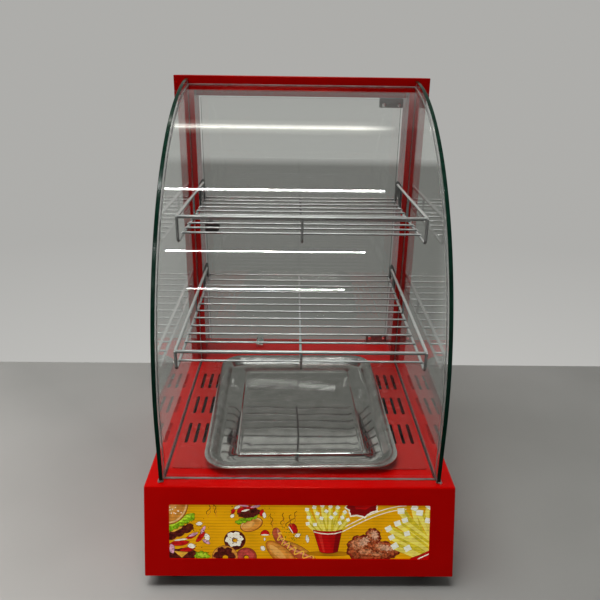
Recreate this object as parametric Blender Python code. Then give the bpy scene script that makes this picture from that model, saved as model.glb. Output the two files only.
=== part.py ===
"""Heated countertop food display cabinet with a curved glass front and a glass rear door.

X runs to the right as the customer sees it, Y to the rear and Z up, in metres. The origin is the
centre of the footprint on the table. Sizes are written in the cabinet's own frame, in which Y = 0
is the top front edge of the base and Z = 0 is the underside of the base. The empty "cabinet"
carries that frame, and every part is parented to it.
"""

import math

import bmesh
import bpy
from mathutils import Matrix, Vector

# Clearance kept between touching parts.
GAP = 0.0003

# Base: a sheet metal box whose front leans back.
WIDTH = 0.380
BASE_HEIGHT = 0.109
FRONT_SLANT = 0.031
BASE_REAR = 0.432
SHEET = 0.0012
BEND_RADIUS = 0.0012
FOOT_HEIGHT = 0.018
FOOT_RADIUS = 0.014
FOOT_X = 0.157
FOOT_YS = {"front": -0.003, "rear": 0.402}

# Illuminated front panel and its window, measured up the slanted front.
WINDOW_WIDTH = 0.319
WINDOW_LOW = 0.022
WINDOW_HIGH = 0.0905
PANEL_MARGIN = 0.006
PANEL_THICK = 0.002
LAMP_RADIUS = 0.008
LAMP_LENGTH = 0.288
LAMP_Y = 0.024
LAMP_Z = 0.056

# Rear frame: posts, header and the step that the door closes under.
FRAME_FRONT = 0.343
FRAME_REAR = 0.430
POST_LIP_X = 0.1605
POST_INNER_X = 0.1665
CABINET_TOP = 0.574
HEADER_BOTTOM = 0.5515
DOOR_STEP_Y = 0.405
DOOR_STEP_Z = 0.5435

# Glass.
SIDE_GLASS_X = 0.173
SIDE_GLASS_THICK = 0.005
FRONT_GLASS_THICK = 0.004
FRONT_GLASS_INSET = 0.008
GLASS_FOOT_Y = 0.008
ARC_RADIUS = 0.390
ARC_START_Z = 0.1835
ARC_STEPS = 28

# Floor plate and tray.
FLOOR_HALF_WIDTH = 0.1625
FLOOR_FRONT = 0.037
FLOOR_REAR = 0.338
FLOOR_OPENING_X = 0.1585
SLOT_LENGTH = 0.048
SLOT_WIDTH = 0.0045
SLOT_PITCH_X = 0.012
SLOT_PITCH_Y = 0.0735
SLOT_OUTER_X = 0.154
SLOT_FIRST_Y = 0.115
SLOT_COLUMNS = 3
SLOT_ROWS = 3
TRAY_CENTRE = (-0.0008, 0.1795)
TRAY_SIZE = (0.250, 0.310)
TRAY_TURN = math.radians(1.2)
TRAY_HEIGHT = 0.0115
TRAY_SHEET = 0.0008

# Wire shelves, in a frame whose origin is the rearmost floor wire.
SHELF_REAR = 0.399
WIRE_PITCH = 0.0253
FLOOR_WIRE = 0.0015
LONG_WIRE = 0.002
RAIL_WIRE = 0.00225
RAIL_X = 0.157
LONG_DROP = 0.003
WIRE_SIDES = 8
UPPER_SHELF = {"wires": 10, "rail": 0.0290, "front": -0.2605, "strut": -0.127, "z": 0.3825, "tilt": 0.5}
LOWER_SHELF = {"wires": 13, "rail": 0.0225, "front": -0.321, "strut": -0.152, "z": 0.2462, "tilt": 2.8}
HOOK_X = (0.1585, 0.1605)
HOOK_Y = (-0.052, 0.004)
NOTCH_Y = (-0.034, -0.008)
LUG_X = (0.1593, 0.1662)
LUG_Y = (-0.033, -0.009)
LUG_Z = (0.0025, 0.0085)
NOTCH_TOP = 0.009

# Rear door: one pane that turns on two clamp hinges.
DOOR_GLASS_Y = (0.416, 0.421)
DOOR_GLASS_X = (-0.1620, 0.1615)
DOOR_GLASS_Z = (0.1118, 0.5412)
PIVOT = (0.155, 0.4185)
PIVOT_RADIUS = 0.003
BUSH_BORE = 0.0031
BUSH_RADIUS = 0.005
CLAMP_X = (0.1265, 0.1640)
CLAMP_Y = (0.4125, 0.4245)
CLAMP_HEIGHT = 0.015
CLAMP_SCREW_X = (0.1327, 0.1577)
CLAMP_SCREW_SHIFT = 0.003
HANDLE_Z = (0.318, 0.336)
HANDLE_X = (-0.1638, -0.138)
CATCH_X = (-0.077, -0.064)

# Controls on the rear of the base.
CONTROL_HALF_WIDTH = 0.110
CONTROL_Z = (0.012, 0.096)
CONTROL_THICK = 0.0015
CONTROL_FACE = BASE_REAR + GAP + CONTROL_THICK
CONTROL_CENTRE_Z = 0.054
SWITCH_X = {"power": -0.078, "lamp": -0.038}
SWITCH_OPENING = (0.0200, 0.0130)
ROCKER_TIP = math.radians(20)
KNOB_X = 0.060
KNOB_RADIUS = 0.018
SHAFT_RADIUS = 0.003
SHAFT_BORE = 0.0031
PILOT_X = 0.004
GLAND_X = -0.150
GLAND_Z = 0.040
REAR_END = 0.450

# Heating element under the floor.
HEATER_RADIUS = 0.004
HEATER_Z = 0.078
HEATER_XS = (-0.105, -0.035, 0.035, 0.105)
HEATER_FRONT = 0.090
HEATER_REAR = 0.320

CABINET_ORIGIN = (0.0, -(REAR_END - FRONT_SLANT) / 2, FOOT_HEIGHT)
SLANT_ANGLE = math.atan2(FRONT_SLANT, BASE_HEIGHT)


def clear_scene():
    for item in list(bpy.data.objects):
        bpy.data.objects.remove(item, do_unlink=True)


def finish(name, colour, roughness, metallic=0.0, alpha=1.0):
    """A Principled material for one part."""
    material = bpy.data.materials.new(name + "_finish")
    material.use_nodes = True
    shader = material.node_tree.nodes["Principled BSDF"]
    shader.inputs["Base Color"].default_value = (*colour, 1.0)
    shader.inputs["Roughness"].default_value = roughness
    shader.inputs["Metallic"].default_value = metallic
    shader.inputs["Alpha"].default_value = alpha
    return material


FINISHES = {
    "red_paint": ((0.42, 0.010, 0.008), 0.25, 0.0, 1.0),
    "glass": ((0.78, 0.88, 0.84), 0.02, 0.0, 0.25),
    "chrome": ((0.75, 0.76, 0.77), 0.12, 1.0, 1.0),
    "stainless": ((0.60, 0.60, 0.58), 0.28, 1.0, 1.0),
    "steel": ((0.45, 0.46, 0.47), 0.40, 1.0, 1.0),
    "zinc": ((0.58, 0.60, 0.62), 0.45, 1.0, 1.0),
    "rubber": ((0.02, 0.02, 0.02), 0.80, 0.0, 1.0),
    "black_plastic": ((0.015, 0.015, 0.016), 0.45, 0.0, 1.0),
    "white_plastic": ((0.75, 0.75, 0.72), 0.50, 0.0, 1.0),
    "lightbox": ((0.80, 0.45, 0.02), 0.35, 0.0, 1.0),
    "lamp": ((0.92, 0.92, 0.90), 0.30, 0.0, 1.0),
    "red_lens": ((0.60, 0.02, 0.02), 0.20, 0.0, 1.0),
    "brass": ((0.70, 0.50, 0.20), 0.35, 1.0, 1.0),
    "cable": ((0.10, 0.10, 0.11), 0.60, 0.0, 1.0),
}


def mesh_of(shape):
    """Turns a bmesh into mesh data and frees it."""
    bmesh.ops.recalc_face_normals(shape, faces=shape.faces)
    data = bpy.data.meshes.new("shape")
    shape.to_mesh(data)
    shape.free()
    return data


def part(name, shape, finish_name, pivot=(0.0, 0.0, 0.0)):
    """A named object from a bmesh in the cabinet's frame, with its origin at the pivot."""
    bmesh.ops.translate(shape, verts=shape.verts, vec=-Vector(pivot))
    item = bpy.data.objects.new(name, mesh_of(shape))
    item.data.name = name
    item.data.materials.append(finish(name, *FINISHES[finish_name]))
    item.parent = bpy.data.objects["cabinet"]
    item.location = pivot
    bpy.context.scene.collection.objects.link(item)
    return item


def combine(item, shapes, operation="DIFFERENCE"):
    """Cuts the shapes out of a part, or joins them to it; they share the part's local frame."""
    tools = []
    for shape in shapes:
        tool = bpy.data.objects.new("tool", mesh_of(shape))
        bpy.context.scene.collection.objects.link(tool)
        tool.matrix_world = Matrix.Translation(Vector(CABINET_ORIGIN) + item.location)
        modifier = item.modifiers.new("Boolean", "BOOLEAN")
        modifier.operation = operation
        modifier.solver = "EXACT"
        modifier.use_self = operation == "UNION"
        modifier.object = tool
        tools.append(tool)
    graph = bpy.context.evaluated_depsgraph_get()
    merged = bpy.data.meshes.new_from_object(item.evaluated_get(graph))
    item.modifiers.clear()
    item.data = merged
    for tool in tools:
        bpy.data.objects.remove(tool, do_unlink=True)


def smooth_round_parts():
    for item in bpy.data.objects:
        if item.type == "MESH":
            item.data.shade_smooth()
            item.data.set_sharp_from_angle(angle=math.radians(35))


def turned(shape, angle, axis, centre):
    """Turns a bmesh about an axis through a point."""
    spin = Matrix.Rotation(angle, 4, axis)
    shift = Matrix.Translation(Vector(centre))
    shape.transform(shift @ spin @ shift.inverted())
    return shape


def prism(outline, axis, low, high):
    """Extrudes an outline along an axis; its points hold the other two coordinates in XYZ order."""
    place = {
        "X": lambda p, along: (along, p[0], p[1]),
        "Y": lambda p, along: (p[0], along, p[1]),
        "Z": lambda p, along: (p[0], p[1], along),
    }[axis]
    shape = bmesh.new()
    near = [shape.verts.new(place(point, low)) for point in outline]
    far = [shape.verts.new(place(point, high)) for point in outline]
    shape.faces.new(near)
    shape.faces.new(reversed(far))
    for index in range(len(outline)):
        following = (index + 1) % len(outline)
        shape.faces.new((near[index], far[index], far[following], near[following]))
    bmesh.ops.recalc_face_normals(shape, faces=shape.faces)
    return shape


def box(xs, ys, zs, bevel=0.0, segments=2):
    """A block, with its edges rounded when bevel is above zero."""
    outline = [(xs[0], ys[0]), (xs[1], ys[0]), (xs[1], ys[1]), (xs[0], ys[1])]
    shape = prism(outline, "Z", *zs)
    if bevel:
        round_edges(shape, bevel, segments)
    return shape


def round_edges(shape, radius, segments=2, keep=None):
    """Rounds sharp edges; keep(edge) picks which."""
    edges = [edge for edge in shape.edges if keep is None or keep(edge)]
    bmesh.ops.bevel(
        shape,
        geom=edges,
        offset=radius,
        offset_type="OFFSET",
        segments=segments,
        profile=0.5,
        affect="EDGES",
        clamp_overlap=True,
    )


def circle(radius, sides, centre=(0.0, 0.0)):
    points = []
    for index in range(sides):
        angle = 2 * math.pi * (index + 0.5) / sides
        points.append((centre[0] + radius * math.cos(angle), centre[1] + radius * math.sin(angle)))
    return points


def rod(centre, axis, radius, low, high, sides=20):
    """A round bar along an axis; centre holds the other two coordinates in XYZ order."""
    return prism(circle(radius, sides, centre), axis, low, high)


def rounded_rectangle(width, height, radius, steps, centre=(0.0, 0.0)):
    corners = (
        (width / 2 - radius, height / 2 - radius, 0),
        (radius - width / 2, height / 2 - radius, 90),
        (radius - width / 2, radius - height / 2, 180),
        (width / 2 - radius, radius - height / 2, 270),
    )
    points = []
    for x, y, start in corners:
        for step in range(steps + 1):
            angle = math.radians(start + 90 * step / steps)
            across = x + radius * math.cos(angle)
            up = y + radius * math.sin(angle)
            points.append((centre[0] + across, centre[1] + up))
    return points


def lathe(profile, axis, centre, sides=24):
    """Turns a profile of (radius, along) points about an axis, closed at both ends."""
    shape = bmesh.new()
    rings = []
    for radius, along in profile:
        ring = []
        for point in circle(radius, sides, centre):
            spot = {"X": (along, *point), "Y": (point[0], along, point[1]), "Z": (*point, along)}[axis]
            ring.append(shape.verts.new(spot))
        rings.append(ring)
    for lower, upper in zip(rings, rings[1:]):
        for index in range(sides):
            following = (index + 1) % sides
            shape.faces.new((lower[index], lower[following], upper[following], upper[index]))
    shape.faces.new(rings[0])
    shape.faces.new(rings[-1])
    bmesh.ops.recalc_face_normals(shape, faces=shape.faces)
    return shape


def rounded_path(corners, radius, steps=3):
    """A path through corner points with its bends rounded."""
    points = [Vector(corners[0])]
    for before, corner, after in zip(corners, corners[1:], corners[2:]):
        corner = Vector(corner)
        back = (Vector(before) - corner).normalized()
        ahead = (Vector(after) - corner).normalized()
        half_angle = back.angle(ahead) / 2
        reach = radius / math.tan(half_angle)
        centre = corner + (back + ahead).normalized() * (radius / math.sin(half_angle))
        start = (corner + back * reach - centre).normalized()
        end = (corner + ahead * reach - centre).normalized()
        for step in range(steps + 1):
            points.append(centre + radius * start.slerp(end, step / steps))
    points.append(Vector(corners[-1]))
    return points


def tube(path, radius, sides=WIRE_SIDES):
    """A closed round wire along a path."""
    shape = bmesh.new()
    points = [Vector(point) for point in path]
    heading = (points[1] - points[0]).normalized()
    side = heading.orthogonal().normalized()
    rings = []
    for index, point in enumerate(points):
        ahead = points[min(index + 1, len(points) - 1)]
        behind = points[max(index - 1, 0)]
        new_heading = (ahead - behind).normalized()
        side = (heading.rotation_difference(new_heading) @ side).normalized()
        heading = new_heading
        up = heading.cross(side)
        ring = []
        for step in range(sides):
            angle = 2 * math.pi * (step + 0.5) / sides
            ring.append(shape.verts.new(point + radius * (math.cos(angle) * side + math.sin(angle) * up)))
        rings.append(ring)
    for near, far in zip(rings, rings[1:]):
        for index in range(sides):
            following = (index + 1) % sides
            shape.faces.new((near[index], near[following], far[following], far[index]))
    shape.faces.new(rings[0])
    shape.faces.new(rings[-1])
    bmesh.ops.recalc_face_normals(shape, faces=shape.faces)
    return shape


def together(shapes):
    """Several bmeshes in one, still overlapping."""
    whole = bmesh.new()
    for shape in shapes:
        data = mesh_of(shape)
        whole.from_mesh(data)
        bpy.data.meshes.remove(data)
    return whole


def on_front(shape):
    """Moves a shape from the slanted front's frame: X across, Y inwards, Z up the slope."""
    shift = Matrix.Translation((0.0, -FRONT_SLANT, 0.0))
    shape.transform(shift @ Matrix.Rotation(-SLANT_ANGLE, 4, "X"))
    return shape


# Base


def base_outline(inset, low):
    """The base's side view, moved inwards by a wall thickness and open below."""
    lean = FRONT_SLANT / BASE_HEIGHT
    front_inset = inset / math.cos(SLANT_ANGLE)
    top = BASE_HEIGHT - inset
    return [
        (-FRONT_SLANT + lean * low + front_inset, low),
        (-FRONT_SLANT + lean * top + front_inset, top),
        (BASE_REAR - inset, top),
        (BASE_REAR - inset, low),
    ]


def base_shell():
    shape = prism(base_outline(0.0, 0.0), "X", -WIDTH / 2, WIDTH / 2)
    round_edges(shape, BEND_RADIUS, 2, lambda edge: max(v.co.z for v in edge.verts) > 0.001)
    item = part("base_shell", shape, "red_paint")
    hollow = prism(base_outline(SHEET, -0.01), "X", -WIDTH / 2 + SHEET, WIDTH / 2 - SHEET)
    window_centre = (0.0, (WINDOW_LOW + WINDOW_HIGH) / 2)
    window_outline = rounded_rectangle(WINDOW_WIDTH, WINDOW_HIGH - WINDOW_LOW, 0.002, 3, window_centre)
    window = on_front(prism(window_outline, "Y", -0.01, 0.01))
    floor_opening = box(
        (-FLOOR_OPENING_X, FLOOR_OPENING_X),
        (FLOOR_FRONT + 0.012, FLOOR_REAR - 0.012),
        (BASE_HEIGHT - 0.01, BASE_HEIGHT + 0.01),
    )
    controls = box(
        (-CONTROL_HALF_WIDTH + 0.008, CONTROL_HALF_WIDTH - 0.008),
        (BASE_REAR - 0.01, BASE_REAR + 0.01),
        (CONTROL_Z[0] + 0.008, CONTROL_Z[1] - 0.008),
    )
    gland = rod((GLAND_X, GLAND_Z), "Y", 0.0085, BASE_REAR - 0.01, BASE_REAR + 0.01)
    bush = rod(PIVOT, "Z", BUSH_RADIUS + GAP, BASE_HEIGHT - 0.01, BASE_HEIGHT + 0.01)
    combine(item, [hollow, window, floor_opening, controls, gland, bush])


def base_bottom_plate():
    inner = SHEET + GAP
    low = -FRONT_SLANT + inner / math.cos(SLANT_ANGLE) + 0.0005
    half = WIDTH / 2 - inner
    item = part("base_bottom_plate", box((-half, half), (low, BASE_REAR - inner), (0.0, SHEET)), "zinc")
    vents = []
    for row in (0.150, 0.250):
        for column in range(7):
            x = (column - 3) * 0.024
            vents.append(prism(rounded_rectangle(0.005, 0.046, 0.0024, 2, (x, row)), "Z", -0.01, 0.01))
    combine(item, [together(vents)])


def foot(name, x, y):
    profile = (
        (0.0030, -FOOT_HEIGHT + 0.004),
        (0.0045, -FOOT_HEIGHT + 0.004),
        (0.0045, -FOOT_HEIGHT),
        (FOOT_RADIUS - 0.0030, -FOOT_HEIGHT),
        (FOOT_RADIUS - 0.0018, -FOOT_HEIGHT + 0.0012),
        (FOOT_RADIUS, -GAP - 0.002),
        (FOOT_RADIUS - 0.0010, -GAP),
    )
    part(name, lathe(profile, "Z", (x, y), 20), "rubber", (x, y, 0.0))


def feet():
    for row, y in FOOT_YS.items():
        foot(f"foot_{row}_left", -FOOT_X, y)
        foot(f"foot_{row}_right", FOOT_X, y)


# Illuminated front


def graphic_panel():
    height = WINDOW_HIGH - WINDOW_LOW + 2 * PANEL_MARGIN
    centre = (0.0, (WINDOW_LOW + WINDOW_HIGH) / 2)
    outline = rounded_rectangle(WINDOW_WIDTH + 2 * PANEL_MARGIN, height, 0.002, 3, centre)
    near = SHEET + GAP
    part("graphic_panel", on_front(prism(outline, "Y", near, near + PANEL_THICK)), "lightbox")


def lamp():
    half = LAMP_LENGTH / 2
    profile = (
        (LAMP_RADIUS - 0.0010, -half),
        (LAMP_RADIUS, -half + 0.001),
        (LAMP_RADIUS, half - 0.001),
        (LAMP_RADIUS - 0.0010, half),
    )
    part("lamp_tube", lathe(profile, "X", (LAMP_Y, LAMP_Z), 20), "lamp")
    for side, sign in (("left", -1), ("right", 1)):
        near = sign * (half + GAP)
        far = sign * (half + 0.014)
        outline = [
            (LAMP_Y - 0.010, LAMP_Z + 0.011),
            (LAMP_Y + 0.010, LAMP_Z + 0.011),
            (LAMP_Y + 0.010, 0.004),
            (LAMP_Y + 0.024, 0.004),
            (LAMP_Y + 0.024, SHEET + GAP),
            (LAMP_Y - 0.010, SHEET + GAP),
        ]
        part(f"lamp_holder_{side}", prism(outline, "X", min(near, far), max(near, far)), "white_plastic")
    driver = box((-0.150, -0.092), (0.352, 0.384), (SHEET + GAP, 0.024), 0.0015)
    part("lamp_driver", driver, "white_plastic")


def lamp_partition():
    """The sheet that keeps the heater's warmth off the lamp, bent over at its foot."""
    y = 0.056
    outline = [
        (y, SHEET + GAP),
        (y + 0.012, SHEET + GAP),
        (y + 0.012, SHEET + GAP + 0.001),
        (y + 0.001, SHEET + GAP + 0.001),
        (y + 0.001, 0.100),
        (y, 0.100),
    ]
    part("lamp_partition", prism(outline, "X", -0.168, 0.168), "zinc")


# Heater


def heating_element():
    """One tubular element, bent into four runs with its two terminals at the rear."""
    left, inner_left, inner_right, right = HEATER_XS
    corners = [
        (left, HEATER_REAR + 0.014, HEATER_Z),
        (left, HEATER_FRONT, HEATER_Z),
        (inner_left, HEATER_FRONT, HEATER_Z),
        (inner_left, HEATER_REAR, HEATER_Z),
        (inner_right, HEATER_REAR, HEATER_Z),
        (inner_right, HEATER_FRONT, HEATER_Z),
        (right, HEATER_FRONT, HEATER_Z),
        (right, HEATER_REAR + 0.014, HEATER_Z),
    ]
    part("heating_element", tube(rounded_path(corners, 0.022, 4), HEATER_RADIUS, 8), "steel")


def heater_brackets():
    """Two combs that hold the element's runs."""
    for name, y in (("front", 0.150), ("rear", 0.285)):
        comb = box((-0.150, 0.150), (y, y + 0.0015), (0.0528, 0.090))
        item = part(f"heater_bracket_{name}", comb, "zinc")
        notches = []
        for x in HEATER_XS:
            radius = HEATER_RADIUS + GAP
            outline = [(x - radius, 0.10)]
            for step in range(9):
                angle = math.pi + math.pi * step / 8
                outline.append((x + radius * math.cos(angle), HEATER_Z + radius * math.sin(angle)))
            outline.append((x + radius, 0.10))
            notches.append(prism(outline, "Y", y - 0.01, y + 0.01))
        combine(item, [together(notches)])


def heat_shield():
    """A bent sheet under the element that turns its heat upwards."""
    low = 0.0505
    outline = [
        (-0.165, 0.072),
        (-0.165, low),
        (0.165, low),
        (0.165, 0.072),
        (0.164, 0.072),
        (0.164, low + 0.001),
        (-0.164, low + 0.001),
        (-0.164, 0.072),
    ]
    part("heat_shield", prism(outline, "Y", 0.075, 0.330), "zinc")


# Floor and tray


def floor_plate():
    low = BASE_HEIGHT + GAP
    outline = rounded_rectangle(
        2 * FLOOR_HALF_WIDTH,
        FLOOR_REAR - FLOOR_FRONT,
        0.004,
        3,
        (0.0, (FLOOR_REAR + FLOOR_FRONT) / 2),
    )
    item = part("floor_plate", prism(outline, "Z", low, low + SHEET), "red_paint")
    slots = []
    for column in range(SLOT_COLUMNS):
        for row in range(SLOT_ROWS):
            for side in (-1, 1):
                x = side * (SLOT_OUTER_X - column * SLOT_PITCH_X)
                y = SLOT_FIRST_Y + row * SLOT_PITCH_Y
                shape = rounded_rectangle(SLOT_WIDTH, SLOT_LENGTH, SLOT_WIDTH * 0.499, 2, (x, y))
                slots.append(prism(shape, "Z", low - 0.01, low + 0.01))
    combine(item, [together(slots)])


def tray_loops():
    """(inset from the rim, height) along the tray's top side, then back along its underside."""
    top = TRAY_HEIGHT
    sheet = TRAY_SHEET
    return (
        (0.0000, top - 0.0016),
        (0.0004, top - 0.0004),
        (0.0012, top),
        (0.0085, top),
        (0.0105, top - 0.0012),
        (0.0165, sheet + 0.0018),
        (0.0190, sheet),
        (0.0400, sheet),
        (0.0425, sheet + 0.0012),
        (0.0428, 0.0012),
        (0.0403, 0.0),
        (0.0186, 0.0),
        (0.0158, 0.0014),
        (0.0098, top - 0.0018),
        (0.0083, top - sheet),
        (0.0016, top - sheet),
        (0.0009, top - 0.0022),
    )


def food_tray():
    bottom = BASE_HEIGHT + 2 * GAP + SHEET
    shape = bmesh.new()
    loops = []
    for inset, height in tray_loops():
        width = TRAY_SIZE[0] - 2 * inset
        length = TRAY_SIZE[1] - 2 * inset
        outline = rounded_rectangle(width, length, max(0.034 - inset * 0.75, 0.004), 5)
        loops.append([shape.verts.new((x, y, height)) for x, y in outline])
    count = len(loops[0])
    middle = next(index for index, (inset, _) in enumerate(tray_loops()) if inset > 0.0424)
    for first, second in zip(range(len(loops)), list(range(1, len(loops))) + [0]):
        if first == middle:
            continue
        near, far = loops[first], loops[second]
        for index in range(count):
            following = (index + 1) % count
            shape.faces.new((near[index], near[following], far[following], far[index]))
    shape.faces.new(loops[middle])
    shape.faces.new(loops[middle + 1])
    bmesh.ops.triangulate(shape, faces=[face for face in shape.faces if len(face.verts) > 4])
    shape.transform(Matrix.Rotation(TRAY_TURN, 4, "Z"))
    centre = (*TRAY_CENTRE, bottom)
    bmesh.ops.translate(shape, verts=shape.verts, vec=centre)
    part("food_tray", shape, "stainless", centre)


# Glass


def arc_profile(inset, end_y):
    """(y, z) along the curved front, from the base up to end_y, moved inwards by inset."""
    radius = ARC_RADIUS - inset
    centre_y = GLASS_FOOT_Y + ARC_RADIUS
    last = math.acos((centre_y - end_y) / radius)
    points = [(centre_y - radius, BASE_HEIGHT + GAP)]
    for step in range(ARC_STEPS + 1):
        angle = last * step / ARC_STEPS
        points.append((centre_y - radius * math.cos(angle), ARC_START_Z + radius * math.sin(angle)))
    return points


def side_glass():
    end_y = FRAME_FRONT - GAP
    outline = arc_profile(0.0, end_y) + [(end_y, BASE_HEIGHT + GAP)]
    for name, sign in (("side_glass_left", -1), ("side_glass_right", 1)):
        faces = sorted((sign * SIDE_GLASS_X, sign * (SIDE_GLASS_X - SIDE_GLASS_THICK)))
        part(name, prism(outline, "X", *faces), "glass")


def front_glass():
    end_y = FRAME_FRONT - GAP
    outer = arc_profile(FRONT_GLASS_INSET, end_y)
    inner = arc_profile(FRONT_GLASS_INSET + FRONT_GLASS_THICK, end_y)
    half = SIDE_GLASS_X - SIDE_GLASS_THICK - GAP
    part("front_glass", prism(outer + inner[::-1], "X", -half, half), "glass")


# Rear frame


def post(name, sign):
    """A folded post, with a lip on its inner front edge."""
    back_of_lip = FRAME_FRONT + SHEET
    outline = [
        (POST_LIP_X, FRAME_FRONT),
        (WIDTH / 2, FRAME_FRONT),
        (WIDTH / 2, FRAME_REAR),
        (POST_INNER_X, FRAME_REAR),
        (POST_INNER_X, back_of_lip),
        (POST_LIP_X, back_of_lip),
    ]
    hollow = [
        (POST_INNER_X + SHEET, back_of_lip),
        (WIDTH / 2 - SHEET, back_of_lip),
        (WIDTH / 2 - SHEET, FRAME_REAR - SHEET),
        (POST_INNER_X + SHEET, FRAME_REAR - SHEET),
    ]
    low = BASE_HEIGHT + GAP
    high = HEADER_BOTTOM - GAP
    item = part(name, prism([(sign * x, y) for x, y in outline], "Z", low, high), "red_paint")
    combine(item, [prism([(sign * x, y) for x, y in hollow], "Z", low - 0.01, high + 0.01)])


def header_cover():
    half = WIDTH / 2
    shape = box((-half, half), (FRAME_FRONT, FRAME_REAR), (HEADER_BOTTOM, CABINET_TOP))
    round_edges(shape, BEND_RADIUS, 2, lambda edge: max(v.co.z for v in edge.verts) > CABINET_TOP - 0.001)
    item = part("header_cover", shape, "red_paint")
    hollow = box(
        (-half + SHEET, half - SHEET),
        (FRAME_FRONT + SHEET, FRAME_REAR - SHEET),
        (HEADER_BOTTOM - 0.01, CABINET_TOP - SHEET),
    )
    combine(item, [hollow])


def header_plate():
    """The sheet that closes the header below, stepped down over the door."""
    front = FRAME_FRONT + SHEET + GAP
    rear = FRAME_REAR - SHEET - GAP
    half = POST_INNER_X - GAP
    outline = [
        (front, HEADER_BOTTOM),
        (DOOR_STEP_Y, HEADER_BOTTOM),
        (DOOR_STEP_Y, DOOR_STEP_Z),
        (rear, DOOR_STEP_Z),
        (rear, HEADER_BOTTOM + 0.012),
        (rear - SHEET, HEADER_BOTTOM + 0.012),
        (rear - SHEET, DOOR_STEP_Z + SHEET),
        (DOOR_STEP_Y + SHEET, DOOR_STEP_Z + SHEET),
        (DOOR_STEP_Y + SHEET, HEADER_BOTTOM + SHEET),
        (front, HEADER_BOTTOM + SHEET),
    ]
    item = part("header_plate", prism(outline, "X", -half, half), "red_paint")
    combine(item, [rod(PIVOT, "Z", BUSH_RADIUS + GAP, DOOR_STEP_Z - 0.005, DOOR_STEP_Z + 0.005)])


# Shelves


def shelf_wires(shelf):
    """Every wire of a shelf in the shelf's frame, as closed tubes."""
    front = shelf["front"]
    rail = shelf["rail"]
    shapes = []
    for index in range(shelf["wires"]):
        y = -index * WIRE_PITCH
        shapes.append(tube([(-RAIL_X, y, 0.0), (RAIL_X, y, 0.0)], FLOOR_WIRE))
    for x, radius in ((-RAIL_X, LONG_WIRE), (0.0, 0.00175), (RAIL_X, LONG_WIRE)):
        corners = [(x, 0.003, -LONG_DROP), (x, front, -LONG_DROP), (x, front, rail)]
        shapes.append(tube(rounded_path(corners, 0.005), radius))
    for x in (-RAIL_X, RAIL_X):
        shapes.append(tube([(x, shelf["strut"], -LONG_DROP), (x, shelf["strut"], rail)], FLOOR_WIRE))
    return shapes


def shelf_hook(sign, rail):
    """The plate that hangs a shelf on a lug, with a notch that is open below."""
    front, rear = HOOK_Y
    low = -LONG_DROP
    outline = [
        (front, low),
        (NOTCH_Y[0], low),
        (NOTCH_Y[0], NOTCH_TOP),
        (NOTCH_Y[1], NOTCH_TOP),
        (NOTCH_Y[1], low),
        (rear - 0.004, low),
        (rear, low + 0.006),
        (rear - 0.004, rail - 0.002),
        (rear - 0.012, rail + 0.003),
        (rear - 0.024, rail + 0.004),
        (front, rail + 0.001),
    ]
    faces = sorted((sign * HOOK_X[0], sign * HOOK_X[1]))
    return prism(outline, "X", *faces)


def shelf_rail(shelf):
    front = shelf["front"]
    rail = shelf["rail"]
    corners = [(-RAIL_X, -0.030, rail), (-RAIL_X, front, rail)]
    corners += [(RAIL_X, front, rail), (RAIL_X, -0.030, rail)]
    return tube(rounded_path(corners, 0.004), RAIL_WIRE)


def wire_shelf(name, shelf):
    item = part(name, shelf_rail(shelf), "chrome")
    rest = shelf_wires(shelf)
    rest.append(shelf_hook(-1, shelf["rail"]))
    rest.append(shelf_hook(1, shelf["rail"]))
    combine(item, [together(rest)], "UNION")
    item.location = (0.0, SHELF_REAR, shelf["z"])
    item.rotation_euler.x = math.radians(shelf["tilt"])


def shelf_lugs(name, shelf):
    for side, sign in (("left", -1), ("right", 1)):
        faces = sorted((sign * LUG_X[0], sign * LUG_X[1]))
        item = part(f"{name}_{side}", box(faces, LUG_Y, LUG_Z, 0.0008), "chrome")
        item.location = (0.0, SHELF_REAR, shelf["z"])
        item.rotation_euler.x = math.radians(shelf["tilt"])


# Rear door


def door_pivot(z=0.0):
    return (PIVOT[0], PIVOT[1], z)


def door_glass():
    pane = box(DOOR_GLASS_X, DOOR_GLASS_Y, DOOR_GLASS_Z, 0.0004, 1)
    part("door_glass", pane, "glass", door_pivot())


def door_hinge(name, low, outward):
    """A clamp on a corner of the pane, with its pivot pin; outward is 1 on the top hinge, -1 below."""
    high = low + CLAMP_HEIGHT
    shape = box(CLAMP_X, CLAMP_Y, (low, high), 0.0008)
    item = part(name, shape, "stainless")
    bridge = 0.0015
    groove_z = (low - 0.01, high - bridge) if outward > 0 else (low + bridge, high + 0.01)
    groove = box(
        (CLAMP_X[0] - 0.01, CLAMP_X[1] + 0.01),
        (DOOR_GLASS_Y[0] - GAP, DOOR_GLASS_Y[1] + GAP),
        groove_z,
    )
    screw_z = (low + high) / 2 - outward * CLAMP_SCREW_SHIFT
    holes = [
        rod((x, screw_z), "Y", 0.0021, CLAMP_Y[0] - 0.005, DOOR_GLASS_Y[0], 12)
        for x in CLAMP_SCREW_X
    ]
    combine(item, [groove, together(holes)])
    pin_z = (high - 0.001, high + 0.006) if outward > 0 else (low - 0.006, low + 0.001)
    combine(item, [rod(PIVOT, "Z", PIVOT_RADIUS, *pin_z, 24)], "UNION")
    set_pivot(item, door_pivot())
    for side, x in zip(("inner", "outer"), CLAMP_SCREW_X):
        clamp_screw(f"{name}_screw_{side}", x, screw_z)


def set_pivot(item, pivot):
    """Moves a part's origin to a point in the cabinet's frame; the part stays where it is."""
    shift = Vector(pivot) - item.location
    item.data.transform(Matrix.Translation(-shift))
    item.location = pivot


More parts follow.
